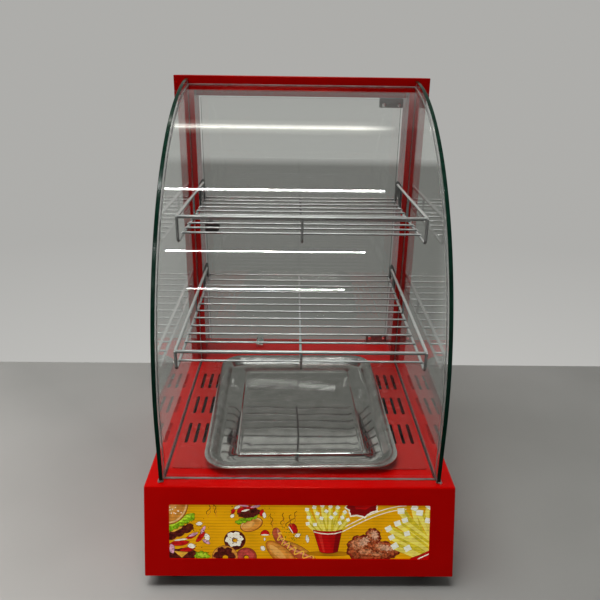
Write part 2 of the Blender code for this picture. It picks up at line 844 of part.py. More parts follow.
def clamp_screw(name, x, z):
    profile = (
        (0.0020, CLAMP_Y[0] - 0.0021),
        (0.0032, CLAMP_Y[0] - 0.0015),
        (0.0034, CLAMP_Y[0] - GAP),
        (0.0017, CLAMP_Y[0] - GAP),
        (0.0017, DOOR_GLASS_Y[0] - 2 * GAP),
    )
    part(name, lathe(profile, "Y", (x, z), 12), "steel", door_pivot())


def pivot_bush(name, low, flange_low):
    """A flanged ring that a pivot pin turns in."""
    shape = rod(PIVOT, "Z", BUSH_RADIUS, low, low + 0.0075, 24)
    item = part(name, shape, "black_plastic")
    combine(item, [rod(PIVOT, "Z", BUSH_RADIUS + 0.003, flange_low, flange_low + 0.0015, 24)], "UNION")
    combine(item, [rod(PIVOT, "Z", BUSH_BORE, low - 0.01, low + 0.02, 24)])


def door_handle():
    """A grip that wraps the free edge of the pane, with a finger pull behind."""
    low, high = HANDLE_Z
    radius = (high - low) / 2
    middle = (low + high) / 2
    outline = [(HANDLE_X[0], low)]
    for step in range(11):
        angle = -math.pi / 2 + math.pi * step / 10
        outline.append((HANDLE_X[1] - radius + radius * math.cos(angle), middle + radius * math.sin(angle)))
    outline.append((HANDLE_X[0], high))
    shape = prism(outline, "Y", CLAMP_Y[0], CLAMP_Y[1])
    round_edges(shape, 0.0008, 2)
    item = part("door_handle", shape, "black_plastic")
    pull = box((-0.1605, -0.1525), (CLAMP_Y[1] - 0.002, 0.4440), (low + 0.001, high - 0.001), 0.0020)
    combine(item, [pull], "UNION")
    groove = box(
        (DOOR_GLASS_X[0] - GAP, 0.0),
        (DOOR_GLASS_Y[0] - GAP, DOOR_GLASS_Y[1] + GAP),
        (low - 0.01, high + 0.01),
    )
    combine(item, [groove])
    set_pivot(item, door_pivot())


def door_catch():
    """A magnet block on the base and its steel strike on the pane."""
    low = BASE_HEIGHT + GAP
    strike_front = DOOR_GLASS_Y[0] - GAP - 0.001
    block = box(CATCH_X, (0.391, strike_front - GAP), (low, low + 0.0065), 0.0008)
    part("door_catch_magnet", block, "black_plastic")
    strike_x = (CATCH_X[0] + 0.001, CATCH_X[1] - 0.001)
    strike = box(strike_x, (strike_front, strike_front + 0.001), (0.1122, 0.1175))
    part("door_strike", strike, "steel", door_pivot())


# Controls


def control_panel():
    half = CONTROL_HALF_WIDTH
    outline = rounded_rectangle(2 * half, CONTROL_Z[1] - CONTROL_Z[0], 0.004, 3, (0.0, sum(CONTROL_Z) / 2))
    item = part("control_panel", prism(outline, "Y", BASE_REAR + GAP, CONTROL_FACE), "stainless")
    near, far = BASE_REAR - 0.01, CONTROL_FACE + 0.01
    width, height = SWITCH_OPENING
    cuts = []
    for x in SWITCH_X.values():
        reach = width / 2 + GAP
        rise = height / 2 + GAP
        z = CONTROL_CENTRE_Z
        cuts.append(box((x - reach, x + reach), (near, far), (z - rise, z + rise)))
    cuts.append(rod((KNOB_X, CONTROL_CENTRE_Z), "Y", 0.0045, near, far))
    cuts.append(rod((PILOT_X, CONTROL_CENTRE_Z), "Y", 0.0053, near, far))
    combine(item, [together(cuts)])


def rocker_switch(name, x):
    """A snap-in housing and the rocker that tips in it."""
    width, height = SWITCH_OPENING
    z = CONTROL_CENTRE_Z
    rear = (BASE_REAR - 0.016, CONTROL_FACE + 0.001)
    body = box((x - width / 2, x + width / 2), rear, (z - height / 2, z + height / 2))
    item = part(f"{name}_switch_housing", body, "black_plastic")
    flange = box(
        (x - width / 2 - 0.0018, x + width / 2 + 0.0018),
        (CONTROL_FACE + GAP, CONTROL_FACE + 0.0022),
        (z - height / 2 - 0.0018, z + height / 2 + 0.0018),
        0.0006,
    )
    combine(item, [flange], "UNION")
    well = box(
        (x - width / 2 + 0.0015, x + width / 2 - 0.0015),
        (BASE_REAR - 0.010, CONTROL_FACE + 0.01),
        (z - height / 2 + 0.0015, z + height / 2 - 0.0015),
    )
    combine(item, [well])
    reach = width / 2 - 0.0024
    foot_reach = reach - 0.0016
    heel = BASE_REAR - 0.001
    face = CONTROL_FACE + 0.0012
    raised = face + reach * math.tan(ROCKER_TIP)
    outline = [
        (x - foot_reach, heel),
        (x + foot_reach, heel),
        (x + reach, face),
        (x, face),
        (x - reach, raised),
    ]
    rise = height / 2 - 0.0021
    shape = prism(outline, "Z", z - rise, z + rise)
    part(f"{name}_switch_rocker", shape, "red_lens", (x, face + 0.0005, z))


def thermostat():
    z = CONTROL_CENTRE_Z
    rear = (BASE_REAR - 0.034, BASE_REAR - 0.004)
    body = box((KNOB_X - 0.017, KNOB_X + 0.017), rear, (z - 0.019, z + 0.019), 0.0015)
    item = part("thermostat_body", body, "black_plastic")
    shaft = rod((KNOB_X, z), "Y", SHAFT_RADIUS, BASE_REAR - 0.006, CONTROL_FACE + 0.008, 20)
    combine(item, [shaft], "UNION")
    knob(z)
    sensor_path = rounded_path(
        [
            (KNOB_X + 0.008, BASE_REAR - 0.0343, z + 0.006),
            (KNOB_X + 0.008, 0.360, z + 0.006),
            (0.070, 0.345, 0.094),
            (0.070, 0.300, 0.094),
        ],
        0.008,
    )
    item = part("thermostat_sensor", tube(sensor_path, 0.0010, 6), "brass")
    combine(item, [rod((0.070, 0.094), "Y", 0.003, 0.232, 0.302, 12)], "UNION")


def knob(z):
    """A round knob with a raised grip bar across its face."""
    near = CONTROL_FACE + 0.0008
    far = REAR_END
    profile = (
        (KNOB_RADIUS, near),
        (KNOB_RADIUS, near + 0.002),
        (KNOB_RADIUS - 0.0030, near + 0.0045),
        (KNOB_RADIUS - 0.0036, near + 0.0085),
        (KNOB_RADIUS - 0.0046, near + 0.0095),
    )
    centre = (KNOB_X, z)
    item = part("thermostat_knob", lathe(profile, "Y", centre, 32), "black_plastic")
    grip = box(
        (KNOB_X - 0.0030, KNOB_X + 0.0030),
        (near + 0.0070, far),
        (z - KNOB_RADIUS + 0.0052, z + KNOB_RADIUS - 0.0052),
        0.0012,
    )
    combine(item, [grip], "UNION")
    combine(item, [rod(centre, "Y", SHAFT_BORE, near - 0.01, CONTROL_FACE + 0.0088, 20)])
    set_pivot(item, (KNOB_X, near, z))


def pilot_lamp():
    face = CONTROL_FACE
    profile = (
        (0.0046, BASE_REAR - 0.018),
        (0.0050, BASE_REAR - 0.017),
        (0.0050, face + GAP),
        (0.0068, face + GAP),
        (0.0068, face + 0.0015),
        (0.0048, face + 0.0020),
        (0.0042, face + 0.0042),
        (0.0022, face + 0.0052),
    )
    part("pilot_lamp", lathe(profile, "Y", (PILOT_X, CONTROL_CENTRE_Z), 20), "red_lens")


def cable_gland():
    """The strain relief in the rear wall that the supply lead would come out of."""
    profile = (
        (0.0110, BASE_REAR - 0.0040),
        (0.0110, BASE_REAR - SHEET - GAP),
        (0.0080, BASE_REAR - SHEET - GAP),
        (0.0080, BASE_REAR + GAP),
        (0.0110, BASE_REAR + GAP),
        (0.0110, BASE_REAR + 0.0035),
        (0.0085, BASE_REAR + 0.0050),
        (0.0070, BASE_REAR + 0.0150),
    )
    item = part("cable_gland", lathe(profile, "Y", (GLAND_X, GLAND_Z), 24), "black_plastic")
    combine(item, [rod((GLAND_X, GLAND_Z), "Y", 0.0042, BASE_REAR - 0.02, BASE_REAR + 0.03, 16)])


def terminal_block():
    block = box((-0.062, -0.014), (0.358, 0.376), (SHEET + GAP, 0.018), 0.001)
    item = part("terminal_block", block, "white_plastic")
    wells = [rod((-0.055 + 0.0085 * index, 0.367), "Z", 0.0026, 0.010, 0.03, 10) for index in range(5)]
    combine(item, [together(wells)])


def leads():
    """The leads between the terminal block, the heater and the lamp."""
    heater_route = rounded_path(
        [
            (0.105, 0.3348, HEATER_Z),
            (0.105, 0.352, HEATER_Z),
            (0.105, 0.352, 0.030),
            (-0.0128, 0.366, 0.009),
        ],
        0.008,
    )
    part("heater_lead", tube(heater_route, 0.0020, 8), "cable")
    lamp_route = rounded_path(
        [
            (-0.150, 0.3517, 0.012),
            (-0.150, 0.330, 0.012),
            (-0.172, 0.290, 0.012),
            (-0.172, 0.040, 0.012),
            (-0.1605, 0.030, 0.030),
        ],
        0.008,
    )
    part("lamp_lead", tube(lamp_route, 0.0020, 8), "cable")


def build():
    clear_scene()
    cabinet = bpy.data.objects.new("cabinet", None)
    cabinet.location = CABINET_ORIGIN
    bpy.context.scene.collection.objects.link(cabinet)
    bpy.context.view_layer.update()
    base_shell()
    base_bottom_plate()
    feet()
    graphic_panel()
    lamp()
    lamp_partition()
    heating_element()
    heater_brackets()
    heat_shield()
    floor_plate()
    food_tray()
    side_glass()
    front_glass()
    post("post_left", -1)
    post("post_right", 1)
    header_cover()
    header_plate()
    wire_shelf("shelf_upper", UPPER_SHELF)
    wire_shelf("shelf_lower", LOWER_SHELF)
    shelf_lugs("shelf_lug_upper", UPPER_SHELF)
    shelf_lugs("shelf_lug_lower", LOWER_SHELF)
    door_glass()
    door_hinge("door_hinge_top", 0.528, 1)
    door_hinge("door_hinge_bottom", 0.110, -1)
    pivot_bush("pivot_bush_top", DOOR_STEP_Z, DOOR_STEP_Z + SHEET + GAP)
    pivot_bush("pivot_bush_bottom", BASE_HEIGHT - 0.0075, BASE_HEIGHT - SHEET - GAP - 0.0015)
    door_handle()
    door_catch()
    control_panel()
    rocker_switch("power", SWITCH_X["power"])
    rocker_switch("lamp", SWITCH_X["lamp"])
    thermostat()
    pilot_lamp()
    cable_gland()
    terminal_block()
    leads()
    smooth_round_parts()


build()
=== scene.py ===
"""Looks for the heated food display cabinet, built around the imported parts.

Lengths are metres in the row frame: X to the right, Y to the rear, Z up from the table.
"""

import math
import random

import bmesh
import bpy
from mathutils import Matrix, Vector, noise
from mathutils.geometry import delaunay_2d_cdt


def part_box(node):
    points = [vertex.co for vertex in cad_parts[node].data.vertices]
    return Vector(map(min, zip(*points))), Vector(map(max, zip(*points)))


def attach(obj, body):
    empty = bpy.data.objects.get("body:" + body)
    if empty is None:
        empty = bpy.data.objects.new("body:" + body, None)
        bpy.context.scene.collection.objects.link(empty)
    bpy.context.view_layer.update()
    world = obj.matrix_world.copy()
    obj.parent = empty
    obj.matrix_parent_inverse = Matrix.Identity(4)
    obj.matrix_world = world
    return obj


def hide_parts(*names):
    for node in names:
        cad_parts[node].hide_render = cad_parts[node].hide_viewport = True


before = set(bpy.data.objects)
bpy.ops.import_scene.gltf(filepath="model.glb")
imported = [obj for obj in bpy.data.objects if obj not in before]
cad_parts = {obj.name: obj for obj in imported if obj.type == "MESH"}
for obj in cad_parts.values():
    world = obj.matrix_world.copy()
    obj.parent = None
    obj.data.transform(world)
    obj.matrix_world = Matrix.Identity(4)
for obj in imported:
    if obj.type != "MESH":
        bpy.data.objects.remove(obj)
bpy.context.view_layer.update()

random.seed(7)

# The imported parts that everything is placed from.
BASE_LOW, BASE_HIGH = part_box("base_shell")
FLOOR_LOW, FLOOR_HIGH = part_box("floor_plate")
HEADER_LOW, HEADER_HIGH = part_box("header_cover")
FRONT_GLASS_LOW, FRONT_GLASS_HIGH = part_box("front_glass")
SIDE_GLASS_LOW, SIDE_GLASS_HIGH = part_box("side_glass_right")
DOOR_LOW, DOOR_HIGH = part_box("door_glass")
PANEL_LOW, PANEL_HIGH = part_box("control_panel")
DECK = BASE_HIGH.z
SHEET = 0.0012
BEND = 0.0019
GAP = 0.0003
MARK_THICK = 0.00012
SCREW_RADIUS = 0.0034

# Millimetres in a metre, and the bend in degrees above which an edge stays sharp.
MILLIMETRES = 1000
SHARP = 35

# The base's front leans back.
LEAN = 0.031
SLANT = math.atan2(LEAN, BASE_HIGH.z - BASE_LOW.z)
WINDOW_LOW = 0.022
WINDOW_SIZE = (0.319, 0.0685)
PANEL_MARGIN = 0.006
RIB_PITCH = 0.0034
RIB_DEPTH = 0.00018
SHEET_FRONT = SHEET + GAP
SHEET_THICK = 0.0020
PANEL_GLOW = 0.44

# Curved glass: a straight foot, then one arc.
ARC_RADIUS = 0.390
ARC_START = DECK + 0.0745
ARC_STEPS = 72
FRONT_INSET = 0.008
FRONT_THICK = 0.004
SIDE_INNER_X = SIDE_GLASS_LOW.x
ARRIS = 0.0006
PANE_SMOOTH = 12

# Wire shelves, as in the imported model.
WIRE_PITCH = 0.0253
RAIL_X = 0.157
LONG_DROP = 0.003
HOOK_TOP_RISE = 0.004
SHELVES = {
    "shelf_upper": {
        "body": "upper_shelf", "wires": 10, "rail": 0.0290,
        "front": -0.2605, "strut": -0.127, "tilt": 0.5,
    },
    "shelf_lower": {
        "body": "lower_shelf", "wires": 13, "rail": 0.0225,
        "front": -0.321, "strut": -0.152, "tilt": 2.8,
    },
}
SIDES = (("left", -1), ("right", 1))

# The wall behind the cabinet, which the glass shows in the cabinet's own shade.
WALL_Y = 0.364
WALL_LIT = (0.42, 0.417, 0.400)
WALL_SHADED = (0.178, 0.177, 0.166)
SHADE_LEFT = -0.228
SHADE_RIGHT = 0.34
SHADE_TOP = 0.445

# Ceiling lamps.
LAMP_Z = 2.2
LAMP_END_X = 0.37
LAMP_RADIANCE = 120.0

# The lamp behind a diffuser, and how far it spreads from front to rear.
SHADED_LAMP_Y = 0.775
SHADED_LAMP_REACH = 0.22

# Camera, in metres and degrees.
CAMERA_PLACE = (-0.0116, -0.8011, 0.5982)
CAMERA_PITCH = 21.02
CAMERA_YAW = 0.79
CAMERA_ROLL = 0.81
CAMERA_LENS = 35.6


# Materials


def new_material(name, colour, roughness, metallic=0.0):
    material = bpy.data.materials.new(name)
    material.use_nodes = True
    shader = material.node_tree.nodes["Principled BSDF"]
    shader.inputs["Base Color"].default_value = (*colour, 1.0)
    shader.inputs["Roughness"].default_value = roughness
    shader.inputs["Metallic"].default_value = metallic
    return material, material.node_tree, shader


def place_node(tree, scale=(1.0, 1.0, 1.0)):
    """Object coordinates in metres, stretched."""
    where = tree.nodes.new("ShaderNodeTexCoord")
    mapping = tree.nodes.new("ShaderNodeMapping")
    mapping.inputs["Scale"].default_value = scale
    tree.links.new(where.outputs["Object"], mapping.inputs["Vector"])
    return mapping.outputs["Vector"]


def axes_of(tree, coordinates):
    """X, Y and Z of one kind of texture coordinates."""
    where = tree.nodes.new("ShaderNodeTexCoord")
    split = tree.nodes.new("ShaderNodeSeparateXYZ")
    tree.links.new(where.outputs[coordinates], split.inputs["Vector"])
    return split.outputs


def noise_of(tree, scale, detail=3.0, stretch=(1.0, 1.0, 1.0)):
    texture = tree.nodes.new("ShaderNodeTexNoise")
    texture.inputs["Scale"].default_value = scale
    texture.inputs["Detail"].default_value = detail
    tree.links.new(place_node(tree, stretch), texture.inputs["Vector"])
    return texture.outputs["Fac"]


def ramp_of(tree, source, stops):
    """A colour ramp; stops are (place, colour)."""
    ramp = tree.nodes.new("ShaderNodeValToRGB")
    elements = ramp.color_ramp.elements
    while len(elements) < len(stops):
        elements.new(0.5)
    for element, (place, colour) in zip(elements, stops):
        element.position = place
        element.color = (*colour, 1.0)
    tree.links.new(source, ramp.inputs["Fac"])
    return ramp.outputs["Color"]


def range_of(tree, source, low, high, from_low=0.3, from_high=0.7):
    mapped = tree.nodes.new("ShaderNodeMapRange")
    mapped.inputs["From Min"].default_value = from_low
    mapped.inputs["From Max"].default_value = from_high
    mapped.inputs["To Min"].default_value = low
    mapped.inputs["To Max"].default_value = high
    tree.links.new(source, mapped.inputs["Value"])
    return mapped.outputs["Result"]


def value_of(tree, operation, first, second):
    """Two values joined by a Math node."""
    joined = tree.nodes.new("ShaderNodeMath")
    joined.operation = operation
    tree.links.new(first, joined.inputs[0])
    tree.links.new(second, joined.inputs[1])
    return joined.outputs["Value"]


def product_of(tree, first, second):
    """Two colours multiplied."""
    product = tree.nodes.new("ShaderNodeMix")
    product.data_type = "RGBA"
    product.blend_type = "MULTIPLY"
    product.inputs["Factor"].default_value = 1.0
    tree.links.new(first, product.inputs["A"])
    tree.links.new(second, product.inputs["B"])
    return product.outputs["Result"]


def add_bump(tree, shader, height, strength, distance):
    bump = tree.nodes.new("ShaderNodeBump")
    bump.inputs["Strength"].default_value = strength
    bump.inputs["Distance"].default_value = distance
    tree.links.new(height, bump.inputs["Height"])
    tree.links.new(bump.outputs["Normal"], shader.inputs["Normal"])


def shade(tree, shader, source, dark, light, low=0.35, high=0.65):
    """Lets a texture vary the base colour between two tones."""
    tree.links.new(ramp_of(tree, source, ((low, dark), (high, light))), shader.inputs["Base Color"])


def scaled(colour, factor):
    return tuple(min(1.0, channel * factor) for channel in colour)


def powder_coat(name, colour, gloss=0.16):
    """Gloss sprayed paint, with a faint orange peel."""
    material, tree, shader = new_material(name, colour, gloss)
    cloud = noise_of(tree, 14.0, 4.0)
    shade(tree, shader, cloud, scaled(colour, 0.95), scaled(colour, 1.04))
    smear = noise_of(tree, 55.0, 5.0)
    tree.links.new(range_of(tree, smear, gloss * 0.8, gloss * 1.35), shader.inputs["Roughness"])
    add_bump(tree, shader, noise_of(tree, 900.0, 2.0), 0.08, 0.00005)
    shader.inputs["Specular IOR Level"].default_value = 0.5
    shader.inputs["Specular Tint"].default_value = (1.0, 0.10, 0.07, 1.0)
    return material


def brushed(name, colour, roughness, along):
    """Metal with a grain along one axis."""
    material, tree, shader = new_material(name, colour, roughness, 1.0)
    stretch = {"X": (0.02, 1.0, 1.0), "Y": (1.0, 0.02, 1.0), "Z": (1.0, 1.0, 0.02)}[along]
    grain = noise_of(tree, 1600.0, 3.0, stretch)
    cloud = noise_of(tree, 22.0, 4.0)
    shade(tree, shader, cloud, scaled(colour, 0.90), scaled(colour, 1.07))
    tree.links.new(range_of(tree, grain, roughness * 0.75, roughness * 1.3), shader.inputs["Roughness"])
    add_bump(tree, shader, grain, 0.25, 0.00002)
    return material


def polished(name, colour, roughness):
    """Smooth metal without a grain, slightly uneven."""
    material, tree, shader = new_material(name, colour, roughness, 1.0)
    cloud = noise_of(tree, 60.0, 4.0)
    shade(tree, shader, cloud, scaled(colour, 0.88), scaled(colour, 1.06))
    tree.links.new(range_of(tree, cloud, roughness * 0.8, roughness * 1.2), shader.inputs["Roughness"])
    return material


def bright_wire(name):
    """Plated wire, painted lighter along its top and darker below: painted light and shade, as light
    falls from above.
    """
    material, tree, shader = new_material(name, (0.8, 0.8, 0.8), 0.14, 0.62)
    # Painted light and shade: the colour follows which way the surface faces, dark underneath and bright
    # on top.
    height = range_of(tree, axes_of(tree, "Normal")["Z"], 0.0, 1.0, -0.2, 0.7)
    tones = ((0.0, (0.20, 0.20, 0.20)), (0.25, (0.30, 0.30, 0.30)), (0.7, (0.86, 0.86, 0.85)))
    tree.links.new(ramp_of(tree, height, tones), shader.inputs["Base Color"])
    tree.links.new(range_of(tree, noise_of(tree, 60.0, 4.0), 0.11, 0.18), shader.inputs["Roughness"])
    return material


def zinc_sheet(name):
    """Galvanised sheet with its spangle."""
    material, tree, shader = new_material(name, (0.5, 0.52, 0.54), 0.42, 1.0)
    spangle = tree.nodes.new("ShaderNodeTexVoronoi")
    spangle.inputs["Scale"].default_value = 130.0
    tree.links.new(place_node(tree), spangle.inputs["Vector"])
    shade(tree, shader, spangle.outputs["Color"], (0.36, 0.38, 0.40), (0.62, 0.64, 0.66), 0.1, 0.9)
    tree.links.new(range_of(tree, noise_of(tree, 90.0), 0.33, 0.52), shader.inputs["Roughness"])
    return material


def moulded(name, colour, roughness, grain=2200.0, depth=0.00003):
    """Moulded plastic or rubber with a fine grain."""
    material, tree, shader = new_material(name, colour, roughness)
    cloud = noise_of(tree, 70.0, 4.0)
    shade(tree, shader, cloud, scaled(colour, 0.85), scaled(colour, 1.15))
    rough = range_of(tree, cloud, roughness * 0.85, min(1.0, roughness * 1.2))
    tree.links.new(rough, shader.inputs["Roughness"])
    add_bump(tree, shader, noise_of(tree, grain, 2.0), 0.35, depth)
    return material


def clear_glass(name, tint):
    """Clear float glass that lets the lamps' light through to what is behind it."""
    material, tree, shader = new_material(name, tint, 0.0)
    shader.inputs["Transmission Weight"].default_value = 1.0
    shader.inputs["IOR"].default_value = 1.5
    open_air = tree.nodes.new("ShaderNodeBsdfTransparent")
    open_air.inputs["Color"].default_value = (*tint, 1.0)
    path = tree.nodes.new("ShaderNodeLightPath")
    either = value_of(tree, "MAXIMUM", path.outputs["Is Shadow Ray"], path.outputs["Is Diffuse Ray"])
    mix = tree.nodes.new("ShaderNodeMixShader")
    tree.links.new(either, mix.inputs["Fac"])
    tree.links.new(shader.outputs["BSDF"], mix.inputs[1])
    tree.links.new(open_air.outputs["BSDF"], mix.inputs[2])
    tree.links.new(mix.outputs["Shader"], tree.nodes["Material Output"].inputs["Surface"])
    return material


def glass_edge(name, colour):
    """The ground edge of a pane, dark green with small chips."""
    material, tree, shader = new_material(name, colour, 0.14)
    chips = noise_of(tree, 90.0, 3.0)
    shade(tree, shader, chips, scaled(colour, 0.8), scaled(colour, 1.3))
    tree.links.new(range_of(tree, chips, 0.10, 0.2), shader.inputs["Roughness"])
    shader.inputs["Specular IOR Level"].default_value = 0.35
    return material


def silicone(name, colour):
    """Clear sealant with a smeared surface."""
    material, tree, shader = new_material(name, colour, 0.22)
    cloud = noise_of(tree, 120.0, 5.0)
    shade(tree, shader, cloud, scaled(colour, 0.80), scaled(colour, 1.12))
    tree.links.new(range_of(tree, cloud, 0.30, 0.45), shader.inputs["Roughness"])
    shader.inputs["Transmission Weight"].default_value = 0.78
    shader.inputs["IOR"].default_value = 1.41
    return material


def printed(name, colour, mottle, scale):
    """Ink on the ribbed, softly lit panel."""
    material, tree, shader = new_material(name, colour, 0.4)
    grain = noise_of(tree, scale, 6.0)
    dark, light = scaled(colour, 1.0 - mottle * 2.2), scaled(colour, 1.0 + mottle)
    tones = ramp_of(tree, grain, ((0.36, dark), (0.64, light)))
    ribs = tree.nodes.new("ShaderNodeTexWave")
    ribs.bands_direction = "Z"
    ribs.inputs["Scale"].default_value = 0.314 * math.cos(SLANT) / RIB_PITCH
    tree.links.new(place_node(tree), ribs.inputs["Vector"])
    # Painted shade: colour and glow are darker in a line along each rib, for the ribs' shading; the
    # ribs' relief itself is real geometry and bump.
    painted_rib_shade = ramp_of(tree, ribs.outputs["Fac"], ((0.0, (0.80, 0.80, 0.80)), (0.5, (1.0, 1.0, 1.0))))
    ribbed = product_of(tree, tones, painted_rib_shade)
    tree.links.new(ribbed, shader.inputs["Base Color"])
    tree.links.new(ribbed, shader.inputs["Emission Color"])
    shader.inputs["Emission Strength"].default_value = PANEL_GLOW
    shader.inputs["Specular IOR Level"].default_value = 0.12
    add_bump(tree, shader, ribs.outputs["Fac"], 0.25, 0.0002)
    return material


def lens(name, colour, glow):
    """Coloured see-through plastic, lit from behind."""
    material, tree, shader = new_material(name, colour, 0.12)
    tree.links.new(range_of(tree, noise_of(tree, 200.0), 0.08, 0.2), shader.inputs["Roughness"])
    shader.inputs["Emission Color"].default_value = (*colour, 1.0)
    shader.inputs["Emission Strength"].default_value = glow
    shader.inputs["Coat Weight"].default_value = 0.5
    return material


RED = powder_coat("red_coat", (0.70, 0.0010, 0.0006))
RED_INNER = powder_coat("red_coat_inner", (0.54, 0.016, 0.012), 0.22)
# Painted shade: the posts and header carry the base's red paint made darker, for the shade they stand in
# behind the glass.
RED_SHADED = powder_coat("red_coat_shaded", (0.42, 0.0010, 0.0006))
GLASS = clear_glass("clear_glass", (0.97, 0.985, 0.975))
EDGE = glass_edge("glass_edge", (0.001, 0.026, 0.014))
GLUE = silicone("clear_silicone", (0.78, 0.78, 0.76))
CHROME = bright_wire("bright_wire")
HOOK_STEEL = polished("hook_steel", (0.08, 0.08, 0.08), 0.34)
STAINLESS = polished("tray_steel", (0.64, 0.635, 0.61), 0.045)
RIM_STEEL = polished("tray_rim_steel", (0.62, 0.61, 0.585), 0.20)
PLATE_STEEL = brushed("plate_steel", (0.56, 0.56, 0.55), 0.30, "X")
CLAMP_STEEL = brushed("clamp_steel", (0.22, 0.22, 0.21), 0.34, "X")
CATCH_STEEL = polished("catch_steel", (0.78, 0.77, 0.74), 0.24)
HEAD_STEEL = polished("clamp_screw_steel", (0.90, 0.90, 0.88), 0.22)
SCREW_STEEL = brushed("screw_steel", (0.52, 0.52, 0.53), 0.25, "Z")
DARK_STEEL = brushed("element_steel", (0.20, 0.19, 0.18), 0.45, "Y")
# Painted shade: the heat shield is coloured near black for the shade inside the base that the floor
# slots look into.
SHIELD_SHADE_STEEL = brushed("shield_steel", (0.035, 0.033, 0.032), 0.60, "Y")
ZINC = zinc_sheet("zinc_sheet")
RUBBER = moulded("foot_rubber", (0.012, 0.012, 0.012), 0.78, 900.0, 0.0001)
BLACK = moulded("black_plastic", (0.014, 0.014, 0.015), 0.40)
WHITE = moulded("white_plastic", (0.68, 0.67, 0.62), 0.45)
MARK = moulded("white_marks", (0.80, 0.80, 0.78), 0.50)
SLEEVE = moulded("cable_sleeve", (0.09, 0.09, 0.10), 0.62, 1500.0)
BRASS = brushed("brass_tube", (0.62, 0.42, 0.16), 0.30, "Y")
RED_LENS = lens("red_lens", (0.55, 0.01, 0.008), 0.25)
LAMP = lens("lamp_glass", (0.90, 0.90, 0.86), 1.2)
GASKET = moulded("gasket_rubber", (0.03, 0.03, 0.03), 0.70)
INKS = {
    name: printed(f"ink_{name}", colour, mottle, scale)
    for name, colour, mottle, scale in (
        ("ground", (0.74, 0.345, 0.0005), 0.05, 40.0),
        ("ground_dark", (0.42, 0.17, 0.001), 0.10, 60.0),
        ("bun", (0.50, 0.15, 0.015), 0.12, 130.0),
        ("cream_bun", (0.80, 0.50, 0.20), 0.10, 130.0),
        ("bun_mid", (0.66, 0.26, 0.035), 0.14, 150.0),
        ("bun_light", (0.78, 0.38, 0.085), 0.12, 160.0),
        ("cream", (0.90, 0.84, 0.68), 0.08, 300.0),
        ("patty", (0.10, 0.012, 0.008), 0.30, 400.0),
        ("brown", (0.11, 0.018, 0.006), 0.20, 300.0),
        ("cheese", (0.80, 0.42, 0.04), 0.10, 200.0),
        ("tomato", (0.52, 0.006, 0.006), 0.18, 260.0),
        ("pink", (0.74, 0.36, 0.48), 0.20, 300.0),
        ("rose", (0.50, 0.06, 0.045), 0.16, 240.0),
        ("rose_dark", (0.34, 0.04, 0.02), 0.16, 240.0),
        ("lettuce", (0.23, 0.44, 0.006), 0.26, 420.0),
        ("leaf_light", (0.48, 0.68, 0.03), 0.18, 420.0),
        ("leaf_dark", (0.04, 0.09, 0.004), 0.20, 300.0),
        ("stem", (0.24, 0.09, 0.002), 0.20, 300.0),
        ("sausage", (0.48, 0.085, 0.03), 0.14, 170.0),
        ("sausage_light", (0.72, 0.25, 0.13), 0.12, 170.0),
        ("mustard", (0.90, 0.52, 0.05), 0.10, 240.0),
        ("chip", (0.86, 0.72, 0.12), 0.10, 120.0),
        ("chip_shade", (0.66, 0.52, 0.022), 0.12, 120.0),
        ("chip_dark", (0.36, 0.25, 0.006), 0.12, 200.0),
        ("chip_end", (0.84, 0.84, 0.70), 0.05, 300.0),
        ("cup", (0.46, 0.002, 0.002), 0.08, 90.0),
        ("cup_dark", (0.24, 0.002, 0.003), 0.08, 90.0),
        ("cup_light", (0.60, 0.02, 0.012), 0.08, 90.0),
        ("crust", (0.38, 0.075, 0.022), 0.34, 340.0),
        ("crust_light", (0.56, 0.20, 0.085), 0.34, 380.0),
        ("crust_dark", (0.20, 0.015, 0.006), 0.30, 420.0),
        ("crust_pale", (0.68, 0.36, 0.22), 0.22, 420.0),
    )
}


# Shapes


def to_mesh(name, shape):
    bmesh.ops.recalc_face_normals(shape, faces=shape.faces)
    data = bpy.data.meshes.new(name)
    shape.to_mesh(data)
    shape.free()
    return data


def keep_sharp(data, angle=SHARP):
    """Smooth shading, apart from the edges that bend more than an angle."""
    data.shade_smooth()
    data.set_sharp_from_angle(angle=math.radians(angle))


def piece(name, shape, body, *materials, replaces=(), smooth=SHARP):
    """A finished piece that rides on a body."""
    item = bpy.data.objects.new(name, to_mesh(name, shape))
    bpy.context.scene.collection.objects.link(item)
    for material in materials:
        item.data.materials.append(material)
    keep_sharp(item.data, smooth)
    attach(item, body)
    if replaces:
        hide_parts(*replaces)
    return item


def cut(item, shapes):
    """Cuts shapes out of a piece."""
    for shape in shapes:
        tool = bpy.data.objects.new("tool", to_mesh("tool", shape))
        bpy.context.scene.collection.objects.link(tool)
        modifier = item.modifiers.new("Boolean", "BOOLEAN")
        modifier.operation = "DIFFERENCE"
        modifier.solver = "EXACT"
        modifier.object = tool
        graph = bpy.context.evaluated_depsgraph_get()
        merged = bpy.data.meshes.new_from_object(item.evaluated_get(graph))
        item.modifiers.clear()
        item.data = merged
        bpy.data.objects.remove(tool, do_unlink=True)
    keep_sharp(item.data)


def prism(outline, axis, low, high):
    """Extrudes an outline along an axis; its points hold the other two coordinates in XYZ order."""
    place = {
        "X": lambda p, along: (along, p[0], p[1]),
        "Y": lambda p, along: (p[0], along, p[1]),
        "Z": lambda p, along: (p[0], p[1], along),
    }[axis]
    shape = bmesh.new()
    near = [shape.verts.new(place(point, low)) for point in outline]
    far = [shape.verts.new(place(point, high)) for point in outline]
    shape.faces.new(near)
    shape.faces.new(reversed(far))
    for index in range(len(outline)):
        following = (index + 1) % len(outline)
        shape.faces.new((near[index], far[index], far[following], near[following]))
    bmesh.ops.recalc_face_normals(shape, faces=shape.faces)
    return shape


